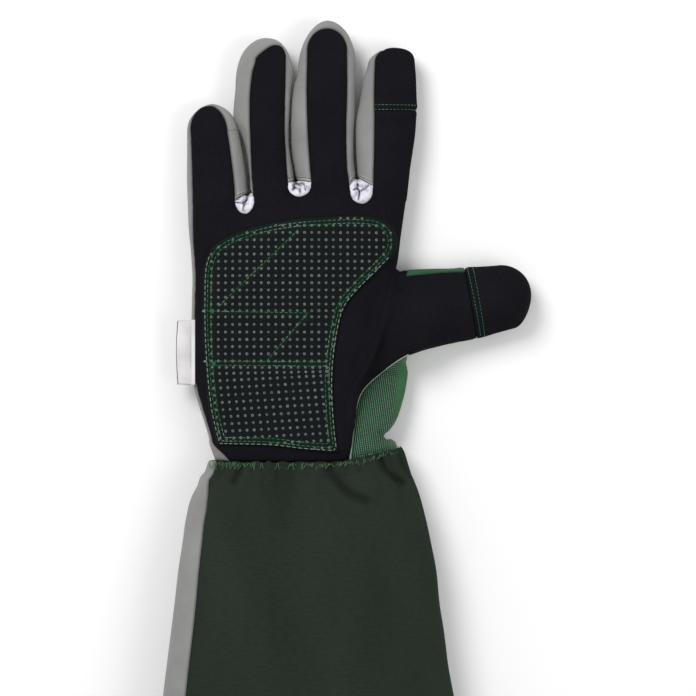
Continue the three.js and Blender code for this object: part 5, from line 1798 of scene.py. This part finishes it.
def cuff_rise(name, points, rim):
    """Soft lengthwise folds, small puckers along the gathered edge, and a few pressed grooves."""
    down = WRIST_Y + CUFF_EDGE + cuff_edge_rise(points[:, 0]) - points[:, 1]
    top = smooth(points[:, 2], 4, 14)
    soft = 1.5 * ripple(points * (1, 0.3, 0.6), 34, 41) * smooth(down, 0, 30)
    soft = soft * smooth(points[:, 2], 12, 32)
    small = 0.8 * ripple(points * (1, 0.05, 1), 5.5, 42) * bell(down, 8)
    middle = 1.2 * ripple(points * (1, 0.25, 1), 12, 43) * bell(down - 8, 14)
    return (soft + small + middle) * top - line_folds(points, CUFF_FOLDS) * smooth(points[:, 2], 12, 20)


def cuff_relief(name, points, rim):
    """The outer face rolls in at its edges, and the hem at the mouth stands out a little."""
    from_mouth = points[:, 1] - (WRIST_Y + CUFF_EDGE - CUFF_LENGTH)
    hem = 0.4 * (1 - smooth(from_mouth, HEM - 0.8, HEM)) - 0.3 * bell(from_mouth - HEM + 2, 0.8)
    puckers = FINE_PUCKER * ripple(points, 4, 44) * np.exp(-rim / 2.5)
    return hem - CUFF_EDGE_DIP * bell(rim, EDGE_ROLL) + puckers


def cuff():
    """The gathered cuff and its side strip; gives back both shapes by name."""
    at = np.linspace(0, 1, CUFF_ROWS + 1)[:, None] ** 1.5
    share = mix(CUFF_STRIP_SHARES[0], CUFF_STRIP_SHARES[1], smooth(at, 0, CUFF_STRIP_WIDENS))
    edge = np.arccos(share ** (DOME_POWER / 2))
    start = math.pi - edge
    strip = start + 2 * edge * np.linspace(0, 1, CUFF_STRIP_STEPS + 1)
    back = math.pi + edge + start * np.linspace(0, 1, CUFF_BACK_STEPS + 1)[:-1]
    front = 2 * math.pi + start * np.linspace(0, 1, CUFF_FRONT_STEPS + 1)
    skin = Skin()
    for name, angles in (("cuff_side_strip", strip), ("cuff", np.concatenate([back, front], axis=1))):
        grid = cuff_grid(at, angles)
        skin.add(grid, strip_cloth(grid), name)
    skin.join()
    found = {}
    for name, finish, slot in (("cuff", CUFF_CLOTH, "cuff_cloth"), ("cuff_side_strip", GREY, "grey_cloth")):
        shape = panel_shape(skin, name, CUFF_WALL - 0.2, cuff_rise, cuff_relief)
        points = shape["points"]
        # Painted shade: a narrow mask along the pressed folds, by which the cloth is darkened.
        shape["facts"]["fold"] = (line_folds(points, CUFF_FOLDS) / FOLD_DEPTH) ** 2
        # Painted light and shade in lengthwise patches, strongest at the wrist and fading towards the mouth.
        fading = np.exp(points[:, 1] / 150 + 0.4)
        shape["facts"]["crest"] = 0.5 + 0.35 * ripple(points * (1, 0.3, 0), 22, 45) * fading
        dress(put_shape(name + "_sewn", shape), finish, slot, name)
        found[name] = shape
    return found


def wrist_stitches(cuff_top):
    """A loose zigzag over the gathered edge, denser where it crosses the thumb's base."""
    random = np.random.default_rng(17)
    x = WRIST_STITCHES_AT + random.uniform(-0.35, 0.35, len(WRIST_STITCHES_AT))
    edge = WRIST_Y + CUFF_EDGE + cuff_edge_rise(x)
    above = np.column_stack([x, edge - random.uniform(0.1, 1.2, len(x))])
    below = np.column_stack([x + random.uniform(-0.9, 0.9, len(x)), edge - random.uniform(1.9, 4.4, len(x))])
    tops, _ = cuff_top.read(above)
    bottoms, normals = cuff_top.read(below)
    tops[:, 2] += 0.7
    bottoms[:, 2] += 0.45
    parts = [stitch_mesh(tops, bottoms, normals, 0.17, 0.4)]
    parts.append(stitch_mesh(bottoms[:-1] + (0.3, 0, 0), tops[1:] - (0.3, 0, 0), normals[:-1], 0.15, 0.4))
    edge = WRIST_Y + CUFF_EDGE + cuff_edge_rise(DENSE_STITCHES_AT)
    row = np.column_stack([DENSE_STITCHES_AT, edge - 0.2])
    places, normals = cuff_top.read(row)
    places[:, 2] += 0.3
    parts.append(stitch_mesh(places, places + (0.5, 1.1, 0.1), normals, 0.22, 0.3))
    return parts


# Label


def label():
    """A tape folded over on itself: two flat layers joined by a half round fold, carried along the seam."""
    x0 = palm_edge("left", LABEL_AT) + LABEL_SEWN_IN
    y0 = WRIST_Y + LABEL_AT * PALM_LENGTH
    flat = np.linspace(0, 1, LABEL_STEPS)
    turn = np.linspace(0, np.pi, 9)[1:-1]
    climb = np.linspace(np.pi / 2, 0, 12)[:-1]
    out = np.concatenate([
        -LABEL_LAP * (1 - np.cos(climb)) + 0.55 * np.sin(climb) * np.cos(climb),
        LABEL_WIDTH * flat, LABEL_WIDTH + LABEL_FOLD * np.sin(turn), LABEL_WIDTH * flat[::-1],
    ])
    up = np.concatenate([
        LABEL_FOLD + LABEL_CLIMB * np.sin(climb),
        np.full(LABEL_STEPS, LABEL_FOLD), LABEL_FOLD * np.cos(turn), np.full(LABEL_STEPS, -LABEL_FOLD),
    ])
    along = np.linspace(-1, 1, 41)[None, :]
    reach = np.maximum(out / LABEL_WIDTH, 0)[:, None]
    x = x0 - out[:, None] - LABEL_BOW * reach * (1 - along**2)
    y = y0 + along * (LABEL_LENGTH / 2 - 0.4 * reach)
    z = PALM_WAIST + up[:, None] + 0.5 * reach**2 * np.sin(along * 2.2 + 0.6)
    grid = np.stack([x, y, z], -1)[:, ::-1]
    skin = Skin()
    skin.add(grid, strip_cloth(grid), "label")
    skin.join()
    shape = panel_shape(skin, "label", LABEL_WALL, flat_face, flat_face)
    x, y = shape["points"][:, 0], shape["points"][:, 1]
    bow = LABEL_BOW * (1 - ((y - y0) / LABEL_LENGTH * 2) ** 2)
    # Share of the way across to the fold, a little less halfway along: the finish paints a shadow where it
    # nears 1.
    fold = (x0 - bow - x) / (LABEL_WIDTH + LABEL_FOLD) - 0.04 * (1 - np.abs(y - y0) / LABEL_LENGTH * 2)
    piece = put_mesh("label_tape_folded", shape["points"], shape["triangles"], shape["uv"], {"fold": fold})
    return dress(piece, TAPE, "label_tape", "side_label")


# Stitches


def web_end_stitches():
    """A row across each side strip of a finger, just past the white patch."""
    parts = []
    for k in web_ends():
        past = WEB_END_STEPS if strip_names[k - 1].startswith("web") else -WEB_END_STEPS
        parts.append(across_strip(k + past))
    return parts


def across_strip(k):
    path = strip_grid[: BANDS_UP + 1, k]
    along = strip_grid[: BANDS_UP + 1, k + 1] - strip_grid[: BANDS_UP + 1, k - 1]
    normals = unit(np.cross(along, np.gradient(path, axis=0)))
    return stitch_row(path + normals * 0.12, normals, 2.2, 0.97, radius=0.15, lift=0.08)


def cap_stitches(top):
    """A double row over the seam of the index tip and of the thumb tip."""
    return [laid_row(top, line, 1.9, radius=0.2) for line in INDEX_CAP_LINES + THUMB_CAP_LINES]


def suede_edge():
    """The pale cut edge of the suede where it crosses the thumb's base."""
    k = np.flatnonzero(strip_names == "thumb_base")
    path = strip_grid[0, k]
    normals = np.tile((0.0, 0.0, 1.0), (len(path), 1))
    line = even_line(np.column_stack([path + normals * 0.05, normals]), 0.9)
    return tube_mesh(line[:, :3], line[:, 3:], 0.26)


cuffs = cuff()
tips = Surface(*(shapes[name] for name in TIP_PANELS))
cuff_top = Surface(cuffs["cuff"], cuffs["cuff_side_strip"])
sew("wrist_stitches", wrist_stitches(cuff_top), CUFF_THREAD, "cuff_cloth")
sew("finger_end_stitches", web_end_stitches(), SEAM_THREAD, "grey_cloth")
sew("cap_stitches", cap_stitches(tips), THREAD, "suede_cap")
dress(put_mesh("suede_cut_edge", *suede_edge()), PALE_EDGE, "suede")
label()

# Stage


def floor():
    mesh = bpy.data.meshes.new("floor")
    corners = [(x * FLOOR_HALF, y * FLOOR_HALF, FLOOR_LEVEL) for x, y in ((-1, -1), (1, -1), (1, 1), (-1, 1))]
    mesh.from_pydata(corners, [], [(0, 1, 2, 3)])
    ground = add_object("floor", mesh)
    made = Finish("floor", 0.9, 0.1)
    grain = made.noise(made.place(), 8, 2)
    colour = made.ramp(grain, (0, (248, 248, 248)), (1, (252, 252, 252)))
    mesh.materials.append(made.done(colour, made.bump(grain, 0.0001, 0.1)))


def lamp(name, place, size, power):
    data = bpy.data.lights.new(name, "AREA")
    data.shape = "DISK"
    data.size = size
    data.energy = power
    light = add_object(name, data)
    light.location = place
    light.rotation_euler = (Vector(LAMP_TARGET) - Vector(place)).to_track_quat("-Z", "Y").to_euler()


def studio():
    """Soft light from all round, a broad key light above the fingers and a weaker one beside the thumb."""
    scene = bpy.context.scene
    world = bpy.data.worlds.new("studio")
    world.use_nodes = True
    background = world.node_tree.nodes["Background"]
    background.inputs["Color"].default_value = (1, 1, 1, 1)
    background.inputs["Strength"].default_value = WORLD_LIGHT
    scene.world = world
    scene.view_settings.view_transform = "Standard"
    for name, facts in LAMPS.items():
        lamp(name, *facts)


def camera():
    """Straight above the palm, its picture 341 mm wide at the level of the palm."""
    data = bpy.data.cameras.new("camera")
    data.lens = CAMERA_LENS
    data.sensor_width = CAMERA_SENSOR
    eye = add_object("camera", data)
    eye.location = (*(CAMERA_PLAN * MM), CAMERA_HEIGHT)
    bpy.context.scene.camera = eye


floor()
studio()
camera()
